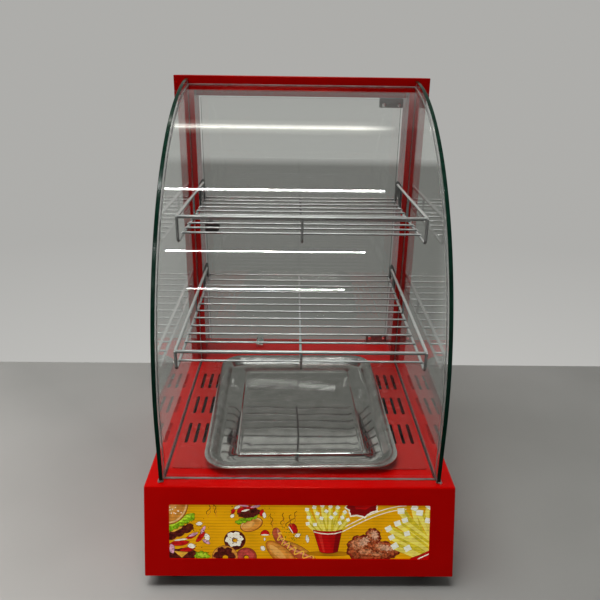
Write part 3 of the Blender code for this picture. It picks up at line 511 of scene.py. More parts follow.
def bevel(shape, edges, offset, segments, clamped=False):
    bmesh.ops.bevel(
        shape, geom=edges, offset=offset, offset_type="OFFSET", segments=segments,
        profile=0.5, affect="EDGES", clamp_overlap=clamped,
    )


def soften(shape, radius, segments, least=30, keep=None):
    """Rounds every edge that bends more than an angle; keep(edge) picks among them."""
    limit = math.radians(least)
    edges = [e for e in shape.edges if len(e.link_faces) == 2 and e.calc_face_angle(0.0) > limit]
    if keep:
        edges = [e for e in edges if keep(e)]
    bevel(shape, edges, radius, segments, True)
    return shape


def box(low, high, radius=0.0, segments=3):
    outline = [(low[0], low[1]), (high[0], low[1]), (high[0], high[1]), (low[0], high[1])]
    shape = prism(outline, "Z", low[2], high[2])
    return soften(shape, radius, segments) if radius else shape


def spread(low, high, count):
    return [low + (high - low) * step / count for step in range(count + 1)]


def middle_of(low, high, axes):
    """The middle of a box in some of its axes, such as "xz"."""
    return tuple((getattr(low, axis) + getattr(high, axis)) / 2 for axis in axes)


def circle(radius, sides, centre):
    angles = [2 * math.pi * (step + 0.5) / sides for step in range(sides)]
    return [(centre[0] + radius * math.cos(a), centre[1] + radius * math.sin(a)) for a in angles]


def rounded_rectangle(width, height, radius, steps, centre=(0.0, 0.0)):
    points = []
    for quarter, (x_side, y_side) in enumerate(((1, 1), (-1, 1), (-1, -1), (1, -1))):
        x = centre[0] + x_side * (width / 2 - radius)
        y = centre[1] + y_side * (height / 2 - radius)
        for step in range(steps + 1):
            angle = math.pi / 2 * (quarter + step / steps)
            points.append((x + radius * math.cos(angle), y + radius * math.sin(angle)))
    return points


def lathe(profile, axis, centre, sides, bored=False):
    """Turns a profile of (radius, along) points about an axis; bored ones close on themselves."""
    shape = bmesh.new()
    rings = []
    for radius, along in profile:
        ring = []
        for point in circle(radius, sides, centre):
            spot = {"X": (along, *point), "Y": (point[0], along, point[1]), "Z": (*point, along)}[axis]
            ring.append(shape.verts.new(spot))
        rings.append(ring)
    join_rings(shape, rings, bored)
    if not bored:
        shape.faces.new(rings[0])
        shape.faces.new(rings[-1])
    return shape


def join_rings(shape, rings, closed=False):
    pairs = list(zip(rings, rings[1:])) + ([(rings[-1], rings[0])] if closed else [])
    for near, far in pairs:
        for index in range(len(near)):
            following = (index + 1) % len(near)
            shape.faces.new((near[index], near[following], far[following], far[index]))


def rounded_path(corners, radius):
    """A path through corner points with its bends rounded."""
    steps = 6
    points = [Vector(corners[0])]
    for before, corner, after in zip(corners, corners[1:], corners[2:]):
        corner = Vector(corner)
        back = (Vector(before) - corner).normalized()
        ahead = (Vector(after) - corner).normalized()
        half_angle = back.angle(ahead) / 2
        reach = radius / math.tan(half_angle)
        centre = corner + (back + ahead).normalized() * (radius / math.sin(half_angle))
        start = (corner + back * reach - centre).normalized()
        end = (corner + ahead * reach - centre).normalized()
        points += [centre + radius * start.slerp(end, step / steps) for step in range(steps + 1)]
    points.append(Vector(corners[-1]))
    return points


def tube(path, radius, sides, swell=None):
    """A round bar along a path, with domed ends; swell(index) scales its radius."""
    points = [Vector(point) for point in path]
    first = (points[0] - points[1]).normalized()
    last = (points[-1] - points[-2]).normalized()
    points = [points[0] + first * radius * 0.35] + points + [points[-1] + last * radius * 0.35]
    shape = bmesh.new()
    rings = []
    heading = (points[1] - points[0]).normalized()
    side = heading.orthogonal().normalized()
    for index, point in enumerate(points):
        ahead = points[min(index + 1, len(points) - 1)]
        behind = points[max(index - 1, 0)]
        turn = (ahead - behind).normalized()
        side = (heading.rotation_difference(turn) @ side).normalized()
        heading = turn
        up = heading.cross(side)
        at_end = index in (0, len(points) - 1)
        size = radius * (0.6 if at_end else 1.0) * (swell(index) if swell else 1.0)
        ring = []
        for step in range(sides):
            angle = 2 * math.pi * (step + 0.5) / sides
            ring.append(shape.verts.new(point + size * (math.cos(angle) * side + math.sin(angle) * up)))
        rings.append(ring)
    join_rings(shape, rings)
    shape.faces.new(rings[0])
    shape.faces.new(rings[-1])
    return shape


def together(shapes):
    whole = bmesh.new()
    for shape in shapes:
        data = to_mesh("part", shape)
        whole.from_mesh(data)
        bpy.data.meshes.remove(data)
    return whole


def moved(shape, matrix):
    shape.transform(matrix)
    return shape


def cross_screw(centre, axis, radius, height=0.0016, out=1):
    """A pan head with a cross recess; axis names its direction, out is which way the head points."""
    head = ((1.0, 0.0), (1.0, 0.45), (0.86, 0.86), (0.62, 1.0))
    shape = lathe([(radius * reach, height * rise) for reach, rise in head], "Z", (0.0, 0.0), 28)
    bmesh.ops.recalc_face_normals(shape, faces=shape.faces)
    top = max(shape.faces, key=lambda face: face.calc_center_median().z)
    outline = []
    arm, width = radius * 0.48, radius * 0.13
    for quarter in range(4):
        spin = Matrix.Rotation(math.pi / 2 * quarter, 2)
        outline += [spin @ Vector(point) for point in ((width, width), (arm, width), (arm, -width))]
    shape.faces.remove(top)
    rim = [v for v in shape.verts if v.co.z > height * 0.99]
    rim.sort(key=lambda v: math.atan2(v.co.y, v.co.x))
    cross = sorted(outline, key=lambda p: math.atan2(p.y, p.x))
    upper = [shape.verts.new((p.x, p.y, height)) for p in cross]
    lower = [shape.verts.new((p.x * 0.8, p.y * 0.8, height * 0.35)) for p in cross]
    join_rings(shape, [upper, lower])
    shape.faces.new(lower)
    rim_edges = [shape.edges.get((rim[i], rim[(i + 1) % len(rim)])) for i in range(len(rim))]
    cross_edges = [shape.edges.get((upper[i], upper[(i + 1) % len(upper)])) for i in range(len(upper))]
    bmesh.ops.bridge_loops(shape, edges=[e for e in rim_edges + cross_edges if e])
    point = {"X": Vector((out, 0, 0)), "Y": Vector((0, out, 0)), "Z": Vector((0, 0, out))}[axis]
    turn = Vector((0, 0, 1)).rotation_difference(point).to_matrix().to_4x4()
    spin = Matrix.Rotation(random.uniform(0, math.pi / 2), 4, "Z")
    return moved(shape, Matrix.Translation(Vector(centre)) @ turn @ spin)


def on_front(shape):
    """Moves a shape from the slanted front's frame: X across, Y inwards, Z up the slope."""
    shift = Matrix.Translation((0.0, BASE_LOW.y, BASE_LOW.z))
    return moved(shape, shift @ Matrix.Rotation(-SLANT, 4, "X"))


# Base


def base_outline(inset, low):
    tangent = LEAN / (BASE_HIGH.z - BASE_LOW.z)
    skin = inset / math.cos(SLANT)
    top = BASE_HIGH.z - inset
    return [
        (BASE_LOW.y + tangent * (low - BASE_LOW.z) + skin, low),
        (BASE_LOW.y + tangent * (top - BASE_LOW.z) + skin, top),
        (BASE_HIGH.y - inset, top),
        (BASE_HIGH.y - inset, low),
    ]


def base_housing():
    """The folded housing, with its window, floor and control openings."""
    shape = prism(base_outline(0.0, BASE_LOW.z), "X", BASE_LOW.x, BASE_HIGH.x)
    soften(shape, BEND, 5, keep=lambda edge: max(v.co.z for v in edge.verts) > BASE_LOW.z + 0.001)
    item = piece("housing", shape, "cabinet", RED, replaces=("base_shell",))
    hollow = prism(base_outline(SHEET, BASE_LOW.z - 0.01), "X", BASE_LOW.x + SHEET, BASE_HIGH.x - SHEET)
    middle = (0.0, WINDOW_LOW + WINDOW_SIZE[1] / 2)
    window = on_front(prism(rounded_rectangle(*WINDOW_SIZE, 0.0015, 4, middle), "Y", -0.01, 0.01))
    floor = box((-0.1585, FLOOR_LOW.y + 0.012, DECK - 0.01), (0.1585, FLOOR_HIGH.y - 0.012, DECK + 0.01))
    controls = box(
        (PANEL_LOW.x + 0.008, BASE_HIGH.y - 0.01, PANEL_LOW.z + 0.008),
        (PANEL_HIGH.x - 0.008, BASE_HIGH.y + 0.01, PANEL_HIGH.z - 0.008),
    )
    gland_low, gland_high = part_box("cable_gland")
    gland_centre = middle_of(gland_low, gland_high, "xz")
    gland = prism(circle(0.0085, 24, gland_centre), "Y", BASE_HIGH.y - 0.01, BASE_HIGH.y + 0.01)
    cut(item, [hollow, window, floor, controls, gland])


def feet():
    for node in ("foot_front_left", "foot_front_right", "foot_rear_left", "foot_rear_right"):
        low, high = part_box(node)
        radius = (high.x - low.x) / 2
        height = high.z - low.z
        hollow = ((0.0028, 0.0042), (0.0046, 0.0038), (0.0048, 0.0004), (0.0052, 0.0))
        profile = [(reach, low.z + rise) for reach, rise in hollow]
        sole = ((0.0030, 0.0), (0.0020, 0.0004), (0.0014, 0.0014))
        profile += [(radius - inset, low.z + rise) for inset, rise in sole]
        for rib in range(4):
            z = low.z + height * (0.20 + 0.18 * rib)
            wave = ((0.0002, 0.0), (0.0, 0.0006), (0.0, 0.0018), (0.0009, 0.0023))
            profile += [(radius - inset, z + rise) for inset, rise in wave]
        profile += [(radius - 0.0006, high.z - 0.0008), (radius - 0.0014, high.z)]
        rubber = lathe(profile, "Z", middle_of(low, high, "xy"), 56)
        piece(f"{node}_rubber", rubber, "cabinet", RUBBER, replaces=(node,))


# Lit picture panel


class Picture:
    """Flat printed shapes, in millimetres from the window's lower left corner; later ones lie on top."""

    def __init__(self):
        margin = PANEL_MARGIN * MILLIMETRES
        width, height = (side * MILLIMETRES for side in WINDOW_SIZE)
        self.low = (-margin, -margin)
        self.high = (width + margin, height + margin)
        border = [self.low, (self.high[0], self.low[1]), self.high, (self.low[0], self.high[1])]
        self.shapes = [("ground", border)]

    def draw(self, ink, outline):
        clipped = self.clip([tuple(point) for point in outline])
        turns = zip(clipped, clipped[1:] + clipped[:1])
        area = sum(start[0] * end[1] - start[1] * end[0] for start, end in turns)
        if abs(area) > 0.02:
            self.shapes.append((ink, clipped if area > 0 else clipped[::-1]))

    def outlined(self, ink, outline, line=0.5, line_ink="brown"):
        """A shape with a darker line round it."""
        middle = sum((Vector(point) for point in outline), Vector((0.0, 0.0))) / len(outline)
        grown = []
        for point in outline:
            away = Vector(point) - middle
            grown.append(tuple(middle + away * (1 + line / max(away.length, 1.0))))
        self.draw(line_ink, grown)
        self.draw(ink, outline)

    def clip(self, outline):
        """Keeps the part of an outline that lies on the sheet."""
        sides = ((0, self.low[0], 1), (0, self.high[0], -1), (1, self.low[1], 1), (1, self.high[1], -1))
        for axis, limit, sign in sides:
            kept = []
            for start, end in zip(outline, outline[1:] + outline[:1]):
                from_start = sign * (start[axis] - limit)
                from_end = sign * (end[axis] - limit)
                if from_start >= 0:
                    kept.append(start)
                if from_start * from_end < 0:
                    share = from_start / (from_start - from_end)
                    kept.append(tuple(s + share * (e - s) for s, e in zip(start, end)))
            outline = kept
        return outline

    def ribs(self):
        """Heights of the crests and troughs of the ribbed sheet."""
        count = round((self.high[1] - self.low[1]) / (RIB_PITCH * MILLIMETRES / 2))
        return [self.low[1] + (self.high[1] - self.low[1]) * step / count for step in range(1, count)]

    def solid(self):
        """The ribbed sheet, its front split up so that every face has one ink."""
        points, faces, edges = [], [], []
        for _, outline in self.shapes:
            faces.append(list(range(len(points), len(points) + len(outline))))
            points += [Vector(point) for point in outline]
        for height in self.ribs():
            edges.append((len(points), len(points) + 1))
            points += [Vector((self.low[0], height)), Vector((self.high[0], height))]
        spots, _, triangles, _, _, owners = delaunay_2d_cdt(points, edges, faces, 1, 1e-4)
        shape = bmesh.new()
        left = -WINDOW_SIZE[0] / 2
        corners = []
        for x, z in spots:
            place = (left + x / MILLIMETRES, self.depth(z), WINDOW_LOW + z / MILLIMETRES)
            corners.append(shape.verts.new(place))
        names = list(INKS)
        for triangle, owner in zip(triangles, owners):
            face = shape.faces.new([corners[index] for index in triangle])
            face.material_index = names.index(self.shapes[max(owner)][0])
        swept = bmesh.ops.extrude_face_region(shape, geom=list(shape.faces))["geom"]
        for vertex in swept:
            if isinstance(vertex, bmesh.types.BMVert):
                vertex.co.y = SHEET_FRONT + SHEET_THICK
        return on_front(shape)

    def depth(self, height):
        """How far in the sheet's face lies at a height: a shallow zigzag."""
        phase = (height - self.low[1]) / (RIB_PITCH * MILLIMETRES) % 1.0
        return SHEET_FRONT + RIB_DEPTH * (1 - abs(2 * phase - 1))


def oval(x, z, half_width, half_height, turn=0.0, wobble=0.0, lobes=5, sides=36, share=1.0, phase=0.0):
    """An ellipse, with a wavy edge if asked; share under 1 keeps only its upper part."""
    points = []
    spin = math.radians(turn)
    for step in range(sides + (share < 1.0)):
        angle = 2 * math.pi * share * step / sides + math.pi * (0.5 - share)
        ripple = 0.5 * math.sin((2 * lobes + 1) * angle + 2 * phase)
        reach = 1 + wobble * (math.sin(lobes * angle + phase) + ripple)
        u = half_width * reach * math.cos(angle)
        v = half_height * reach * math.sin(angle)
        points.append((
            x + u * math.cos(spin) - v * math.sin(spin),
            z + u * math.sin(spin) + v * math.cos(spin),
        ))
    return points


def ribbon(line, width, rounded=False):
    """An outline that follows a line at a width."""
    left, right = [], []
    count = len(line) - 1
    for index, point in enumerate(line):
        heading = (Vector(line[min(index + 1, count)]) - Vector(line[max(index - 1, 0)])).normalized()
        reach = width / 2
        if rounded:
            from_end = min(index, count - index) / count
            reach *= math.sqrt(min(1.0, from_end * 7 + 0.03))
        side = Vector((-heading.y, heading.x)) * reach
        left.append(tuple(Vector(point) + side))
        right.append(tuple(Vector(point) - side))
    return left + right[::-1]


def wave_line(start, end, swing, waves, steps=40):
    start, end = Vector(start), Vector(end)
    heading = (end - start).normalized()
    side = Vector((-heading.y, heading.x))
    return [
        tuple(start.lerp(end, s / steps) + side * swing * math.sin(2 * math.pi * waves * s / steps))
        for s in range(steps + 1)
    ]


def curve_through(points, steps):
    """A smooth line through points."""
    points = [Vector(point) for point in points]
    line = []
    for index in range(len(points) - 1):
        before = points[max(index - 1, 0)]
        start, end = points[index], points[index + 1]
        after = points[min(index + 2, len(points) - 1)]
        for step in range(steps):
            t = step / steps
            line.append(0.5 * (
                2 * start + (end - before) * t + (2 * before - 5 * start + 4 * end - after) * t ** 2
                + (3 * start - before - 3 * end + after) * t ** 3
            ))
    return line + [points[-1]]


def draw_seeds(picture, x, z, spread_x, spread_z, count):
    for _ in range(count):
        spot = (x + random.uniform(-spread_x, spread_x), z + random.uniform(-spread_z, spread_z))
        picture.draw("cream", oval(*spot, 0.95, 0.6, random.uniform(0, 180), sides=8))


def draw_crumbs(picture, x, z, spread_x, spread_z, count, inks):
    for _ in range(count):
        size = random.uniform(0.3, 0.8)
        spot = (x + random.gauss(0, spread_x), z + random.gauss(0, spread_z))
        crumb = oval(*spot, size, size * random.uniform(0.4, 1.0), random.uniform(0, 180), sides=7)
        picture.draw(random.choice(inks), crumb)


def draw_bits(picture, ink, *bits):
    """Scattered slices; each is x, z, half width, half height, turn."""
    for index, (x, z, half_width, half_height, turn) in enumerate(bits):
        picture.outlined(ink, oval(x, z, half_width, half_height, turn, 0.06, 4, phase=index), 0.4)


def draw_left_burger(picture):
    """A burger that comes apart, cut off by the left edge."""
    picture.outlined("patty", oval(12, 3, 21, 9, 8, 0.05, 7))
    picture.outlined("cheese", [(5, 9), (23, 7.5), (15, 0.5)])
    picture.outlined("lettuce", oval(40, 2.5, 9, 6, -8, 0.12, 8))
    picture.draw("leaf_light", oval(40, 4, 6, 2.6, -8, 0.16, 7))
    draw_bits(picture, "tomato", (12, 19, 12, 3.2, 6), (22, 11, 9, 2.6, 8), (27, 28, 7, 2.4, 24),
              (38, 27, 8, 2.7, 52))
    draw_bits(picture, "pink", (3, 12, 3, 6, 4), (29, 30, 6, 1.7, 22), (41, 36, 5.5, 1.8, 62),
              (45, 21, 5, 2.0, -28))
    draw_bits(picture, "cream", (27, 15.5, 4.6, 3.0, -10), (46, 27, 3.0, 4.4, 20),
              (36.5, 44, 3.8, 2.2, 6), (14, 23.5, 8, 1.0, 8))
    picture.outlined("patty", ribbon(wave_line((-4, 26), (28, 41), 1.1, 3.5), 9.5, True))
    picture.outlined("brown", oval(25, 39, 4.5, 4.0, 30, 0.15, 5))
    picture.draw("cheese", oval(9, 37, 8, 1.8, 26, 0.10, 5))
    picture.outlined("lettuce", ribbon(wave_line((-4, 36.5), (31, 55), 1.0, 5.5), 9.0, True))
    picture.draw("leaf_light", ribbon(wave_line((0, 40.5), (28, 56.5), 0.8, 5.5), 3.4, True))
    picture.outlined("bun", oval(-2, 70, 25, 27))
    picture.draw("cream_bun", oval(-2.4, 70.4, 24.4, 26.4))
    picture.draw("bun_mid", oval(-3.4, 71.2, 23.6, 25.6))
    picture.draw("bun_light", oval(-7, 74, 18, 19))
    draw_seeds(picture, 9, 61, 9, 5, 11)
    draw_crumbs(picture, 36, 27, 7, 12, 60, ("brown", "patty", "leaf_dark"))


def draw_small_burger(picture):
    picture.outlined("bun", oval(100.5, 43, 14, 8, 20))
    picture.draw("cream_bun", oval(100, 43.8, 13.2, 7.0, 20))
    picture.draw("bun_mid", oval(100.3, 42.6, 12.8, 6.6, 20))
    picture.draw("bun_light", oval(97, 42.5, 8, 3.6, 20))
    picture.outlined("lettuce", ribbon(wave_line((81, 45), (108, 55), 0.9, 4.5), 5.5, True))
    picture.outlined("patty", oval(97, 58, 13.5, 6.0, 8, 0.07, 9))
    draw_bits(picture, "tomato", (88, 62, 6, 2.6, 30), (98, 65, 7, 2.2, 0), (113, 58, 2.6, 4.4, -10),
              (78, 60, 3.6, 2.0, 60))
    draw_bits(picture, "cream", (83, 65, 4, 1.8, 24), (77, 54, 2.6, 2.0, 40), (93, 61, 5, 1.2, 14),
              (116, 55, 2.0, 3.6, 10))
    draw_bits(picture, "pink", (105, 66, 6, 1.4, 10), (91, 67, 6, 1.2, -8))
    draw_crumbs(picture, 97, 60, 12, 4, 30, ("brown", "leaf_dark"))


def draw_doughnut(picture, x, z, size, dough, icing, wobble, phase=0.0):
    picture.outlined(dough, oval(x, z, size, size * 0.94))
    top = oval(x - size * 0.05, z + size * 0.1, size * 0.80, size * 0.72, 0, wobble, 6, 48, phase=phase)
    picture.draw(icing, top)
    picture.draw("brown", oval(x, z, size * 0.27, size * 0.22))
    picture.draw("ground", oval(x + size * 0.03, z - size * 0.03, size * 0.21, size * 0.17))


def draw_doughnuts(picture):
    draw_doughnut(picture, 80, 23, 12.8, "patty", "cream", 0.11, 0.7)
    draw_doughnut(picture, 94, 1.5, 12.6, "rose_dark", "rose", 0.05)
    draw_doughnut(picture, 68, 1.5, 15.5, "bun_mid", "patty", 0.12, 1.9)
    draw_crumbs(picture, 79, 25, 5, 4, 22, ("brown",))


def draw_hot_dog(picture):
    spine = [(130.5, 39), (132, 30), (138, 20), (148, 11), (162, 4), (178, -3)]
    smooth = [tuple(point) for point in curve_through(spine, 8)]
    picture.outlined("bun", oval(158, 9, 25, 7.0, -30))
    picture.draw("bun_mid", oval(160, 10, 21, 4.6, -30))
    picture.outlined("sausage", ribbon(smooth, 10.5, True))
    picture.draw("sausage_light", ribbon([(x + 1.6, z + 2.0) for x, z in smooth[3:-3]], 2.6, True))
    zigzag = []
    for index, (x, z) in enumerate(smooth[8:]):
        swing = 3.0 * math.sin(index * 1.15)
        zigzag.append((x + swing + 1.0, z + swing + 1.5))
    picture.draw("mustard", ribbon(curve_through(zigzag, 4), 1.3))
    picture.outlined("bun", oval(138, 4.0, 25, 10.0, -42))
    picture.draw("bun_mid", oval(138.5, 3.6, 23.4, 8.4, -42))
    picture.draw("bun_light", oval(133, 7.0, 14, 4.0, -44))
    draw_bits(picture, "tomato", (151.5, 38.5, 7.0, 4.6, -58))
    picture.draw("cream", oval(148.6, 36.8, 5.6, 0.7, -58))
    picture.outlined("tomato", oval(117, 30, 5.4, 6.0, 0, share=0.5))
    picture.draw("cream", oval(117, 30, 5.0, 0.9))
    draw_bits(picture, "cream", (114.5, 12.8, 2.6, 3.2, 30), (157, 29.6, 3.4, 2.2, 20),
              (169, 25, 2.0, 4.6, 8), (116.5, 24.5, 1.0, 2.0, 0))
    wisps = ((137, 43, 3), (143, 41, 6), (148, 45, 8), (126, 42, -2), (46, 56, 5), (57, 57, -3))
    for x, z, lean in wisps:
        picture.draw("stem", ribbon(wave_line((x, z), (x + lean, z + 15), 1.5, 1.5, 20), 1.0))
        picture.draw("bun", ribbon(wave_line((x + 1.6, z - 4), (x + lean, z + 10), 1.2, 1.5, 20), 0.6))
    draw_crumbs(picture, 146, 27, 12, 8, 80, ("brown", "leaf_dark", "leaf_dark", "lettuce"))


def draw_chip(picture, start, end, width):
    """One chip, shaded along one side, with its pale cut end."""
    start, end = Vector(start), Vector(end)
    heading = (end - start).normalized()
    side = Vector((-heading.y, heading.x))
    picture.outlined("chip", ribbon([tuple(start), tuple(end)], width), 0.3, "chip_dark")
    lower = [tuple(start - side * width * 0.3), tuple(end - side * width * 0.3)]
    picture.draw("chip_shade", ribbon(lower, width * 0.38))
    tip = end - heading * width * 0.1
    reach = width * 0.56
    corners = ((1.0, 0.3), (-0.1, 1.05), (-1.0, -0.2), (0.1, -1.0))
    cut_end = [tuple(tip + (heading * a + side * b) * reach) for a, b in corners]
    picture.outlined("chip_end", cut_end, 0.25, "chip_shade")


def draw_chips_in_cup(picture):
    picture.draw("ground_dark", oval(195, 6.5, 28, 3.6))
    ends = (
        (168, 63, 0), (177, 66, 1), (187, 68, 2), (197, 67, 3), (206, 66, 4), (215, 60, 5), (170, 53, 0),
        (219, 50, 5), (181, 58, 1), (203, 58, 3), (212, 53, 4), (192, 61, 2), (169, 45, 0), (209, 46, 4),
        (178, 44, 1), (186, 52, 2), (198, 53, 3),
    )
    for x, z, slot in ends:
        draw_chip(picture, (184 + 4.2 * slot, 31), (x, z), 5.2)
    cup = [(176, 36.5), (185, 35), (194, 34.5), (203, 35), (211.5, 37)]
    cup += [(206.5, 9), (202, 7.4), (194, 6.6), (188, 7.4), (184.5, 9)]
    picture.outlined("cup", cup)
    picture.draw("cup_dark", [(204, 34), (211.5, 36), (206.5, 9), (201, 7.4)])
    picture.draw("cup_light", [(181, 34), (186, 33.4), (191, 8), (188.5, 8.4)])
    band = [(176.6, 34.2), (185, 32.2), (194, 31.4), (203, 32.0), (211, 34.4)]
    picture.draw("cream", ribbon(band, 1.2))


def draw_sweep(picture):
    """A plain splash and curved bands, where a sign would be."""
    picture.draw("cream", oval(236, 67, 20, 14, 12, 0.10, 7))
    picture.draw("cup_dark", oval(236, 67.6, 18.4, 12.4, 12, 0.10, 7))
    picture.draw("cup", oval(238, 70, 13, 7, 12, 0.10, 7))
    for drop, width, ink in ((0.0, 1.1, "cream"), (2.4, 0.9, "chip_shade"), (4.6, 1.0, "cream")):
        line = []
        for step in range(29):
            share = step / 28
            line.append((212 + 78 * share, 39 - drop + 29 * math.sin(share * math.pi * 0.47)))
        picture.draw(ink, ribbon(line, width))


def draw_chicken(picture):
    lumps = (
        (236, 13, 18, 17, 10), (250, 28, 9, 11, 16), (244, 6, 15, 9, 0), (264, 11, 16, 11, -14),
        (276, 11, 9, 7, 24), (258, 4, 14, 6, 0),
    )
    for x, z, wide, high, turn in lumps:
        picture.outlined("crust_dark", oval(x, z, wide, high, turn, 0.06, 9, 52, phase=x), 0.6)
    for x, z, wide, high, turn in lumps:
        crust = oval(x - 0.8, z + 1.0, wide * 0.88, high * 0.86, turn, 0.08, 8, 48, phase=z)
        picture.draw("crust", crust)
        lit = oval(x - wide * 0.2, z + high * 0.34, wide * 0.55, high * 0.4, turn, 0.16, 7, 40, phase=x)
        picture.draw("crust_light", lit)
    for x, z, wide, high, turn in ((239, 22, 7, 4.5, 40), (252, 30, 4, 5.5, 10), (266, 14, 8, 3.4, -10)):
        picture.draw("crust_pale", oval(x, z, wide, high, turn, 0.24, 9, 48, phase=z))
    draw_crumbs(picture, 250, 17, 13, 8, 70, ("crust_light", "crust_dark", "crust_pale"))


def draw_right_chips(picture):
    chips = (
        (316, 40, 318, 68), (308, 30, 300, 66), (322, 16, 283, 62), (322, 24, 288, 50),
        (321, 12, 268, 39), (322, 30, 306, 60), (318, 6, 272, 28), (323, 15, 279, 46),
        (312, 2, 276, 17), (322, 9, 291, 33), (324, 34, 317, 50), (312, 4, 292, 14),
    )
    for index, (start_x, start_z, end_x, end_z) in enumerate(chips):
        draw_chip(picture, (start_x, start_z), (end_x, end_z), 8.0 + 0.7 * (index % 3))
    picture.outlined("cup", [(292, -3), (298, 1.5), (308, 5), (318, 10), (326, 15), (326, -6)])
    picture.draw("cream", ribbon([(301, -3), (309, 1.4), (317, 5.2), (326, 10)], 1.4))


def picture_panel():
    """The ribbed sheet in the window, with generic food printed on it."""
    picture = Picture()
    for draw in (draw_sweep, draw_left_burger, draw_small_burger, draw_doughnuts, draw_hot_dog,
                 draw_chips_in_cup, draw_chicken, draw_right_chips):
        draw(picture)
    inks = INKS.values()
    piece("picture_sheet", picture.solid(), "cabinet", *inks, replaces=("graphic_panel",), smooth=20)


# Glass


def arc_profile(inset, end_y, steps=ARC_STEPS, low=DECK + GAP):
    """(y, z) along the curved front, from the base up to end_y, moved inwards by inset."""
    radius = ARC_RADIUS - inset
    centre_y = SIDE_GLASS_LOW.y + ARC_RADIUS
    last = math.acos((centre_y - end_y) / radius)
    points = [(centre_y - radius, low)]
    for step in range(steps + 1):
        angle = last * step / steps
        points.append((centre_y - radius * math.cos(angle), ARC_START + radius * math.sin(angle)))
    return points


def pane(name, outline, faces, node):
    """A flat pane with ground and slightly bevelled edges."""
    shape = prism(outline, "X", *faces)
    middle = sum(faces) / 2
    reach = abs(faces[1] - faces[0]) / 2
    rims = []
    for face in shape.faces:
        if abs(abs(face.calc_center_median().x - middle) - reach) < 1e-6:
            rims += face.edges
    bevel(shape, rims, ARRIS, 2)
    for face in shape.faces:
        face.material_index = 0 if abs(face.normal.x) > 0.98 else 1
    piece(name, shape, "cabinet", GLASS, EDGE, replaces=(node,), smooth=PANE_SMOOTH)


def side_panes():
    outline = arc_profile(0.0, SIDE_GLASS_HIGH.y)
    outline.append((SIDE_GLASS_HIGH.y, DECK + GAP))
    for side, _ in SIDES:
        low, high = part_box(f"side_glass_{side}")
        pane(f"side_pane_{side}", outline, (low.x, high.x), f"side_glass_{side}")


def front_pane():
    end_y = FRONT_GLASS_HIGH.y
    outer = arc_profile(FRONT_INSET, end_y)
    inner = arc_profile(FRONT_INSET + FRONT_THICK, end_y)
    shape = prism(outer + inner[::-1], "X", FRONT_GLASS_LOW.x, FRONT_GLASS_HIGH.x)
    shape.normal_update()
    for face in shape.faces:
        centre = face.calc_center_median()
        end_face = abs(face.normal.x) > 0.5
        foot_face = face.normal.z < -0.9 and centre.z < DECK + 0.001
        top_face = face.normal.y > 0.9 and centre.z > HEADER_LOW.z - 0.03
        face.material_index = 1 if end_face or foot_face or top_face else 0
    piece("front_pane", shape, "cabinet", GLASS, EDGE, replaces=("front_glass",), smooth=PANE_SMOOTH)


def bead_swell(seed, amount):
    return lambda index: 1.0 + amount * noise.noise(Vector((index * 0.31, seed * 7.3, 0.0)))


def bead(name, path, radius, sides, seed, amount=0.35):
    piece(name, tube(path, radius, sides, bead_swell(seed, amount)), "cabinet", GLUE)


def beads():
    """Silicone along the feet and joints of the glass, and the strips that the side panes stand on."""
    foot = FRONT_GLASS_LOW
    line = []
    for step, x in enumerate(spread(foot.x, FRONT_GLASS_HIGH.x, 90)):
        drift = 0.0004 * noise.noise(Vector((step * 0.17, 3.1, 0.0)))
        line.append((x, foot.y - 0.0009 + drift, DECK + 0.0010))
    bead("bead_front", line, 0.0011, 12, 1)
    for side, sign in SIDES:
        side_beads(side, sign)
    top_y, top_z = FRONT_GLASS_HIGH.y - 0.0010, FRONT_GLASS_HIGH.z + 0.0004
    top = [(x, top_y, top_z) for x in spread(foot.x, FRONT_GLASS_HIGH.x, 70)]
    bead("bead_header", top, 0.0006, 10, 21, 0.4)


def side_beads(side, sign):
    front, rear = SIDE_GLASS_LOW.y, SIDE_GLASS_HIGH.y
    x_out = sign * (SIDE_GLASS_HIGH.x + 0.0006)
    foot = [(x_out, y, DECK + 0.0008) for y in spread(front, rear, 60)]
    bead(f"bead_side_{side}", foot, 0.0013, 10, 4 + sign)
    x_in = sign * (SIDE_INNER_X - 0.0004)
    joint = arc_profile(FRONT_INSET, FRONT_GLASS_HIGH.y - 0.001, 60, DECK + 0.003)
    bead(f"bead_corner_{side}", [(x_in, y - 0.0004, z) for y, z in joint], 0.0009, 8, 8 + sign, 0.5)
    blob = [(x_out - sign * s * 0.0007, front - 0.0008 + 0.0003 * s, DECK + 0.0011) for s in range(9)]
    bead(f"bead_blob_{side}", blob, 0.0013, 12, 12 + sign, 0.8)
    seat = (sign * (SIDE_INNER_X - 0.0016), sign * (SIDE_INNER_X - 0.0002))
    seat_low = (min(seat), front + FRONT_INSET + FRONT_THICK + 0.001, DECK + 0.0001)
    strip = box(seat_low, (max(seat), rear - 0.001, DECK + 0.0012), 0.0003, 2)
    piece(f"seat_strip_{side}", strip, "cabinet", GASKET)
    x_post = sign * (SIDE_GLASS_HIGH.x + 0.0004)
    post = [(x_post, rear - 0.0006, z) for z in spread(DECK + 0.004, SIDE_GLASS_HIGH.z - 0.004, 40)]
    bead(f"bead_post_{side}", post, 0.0009, 8, 16 + sign)


# Rear frame


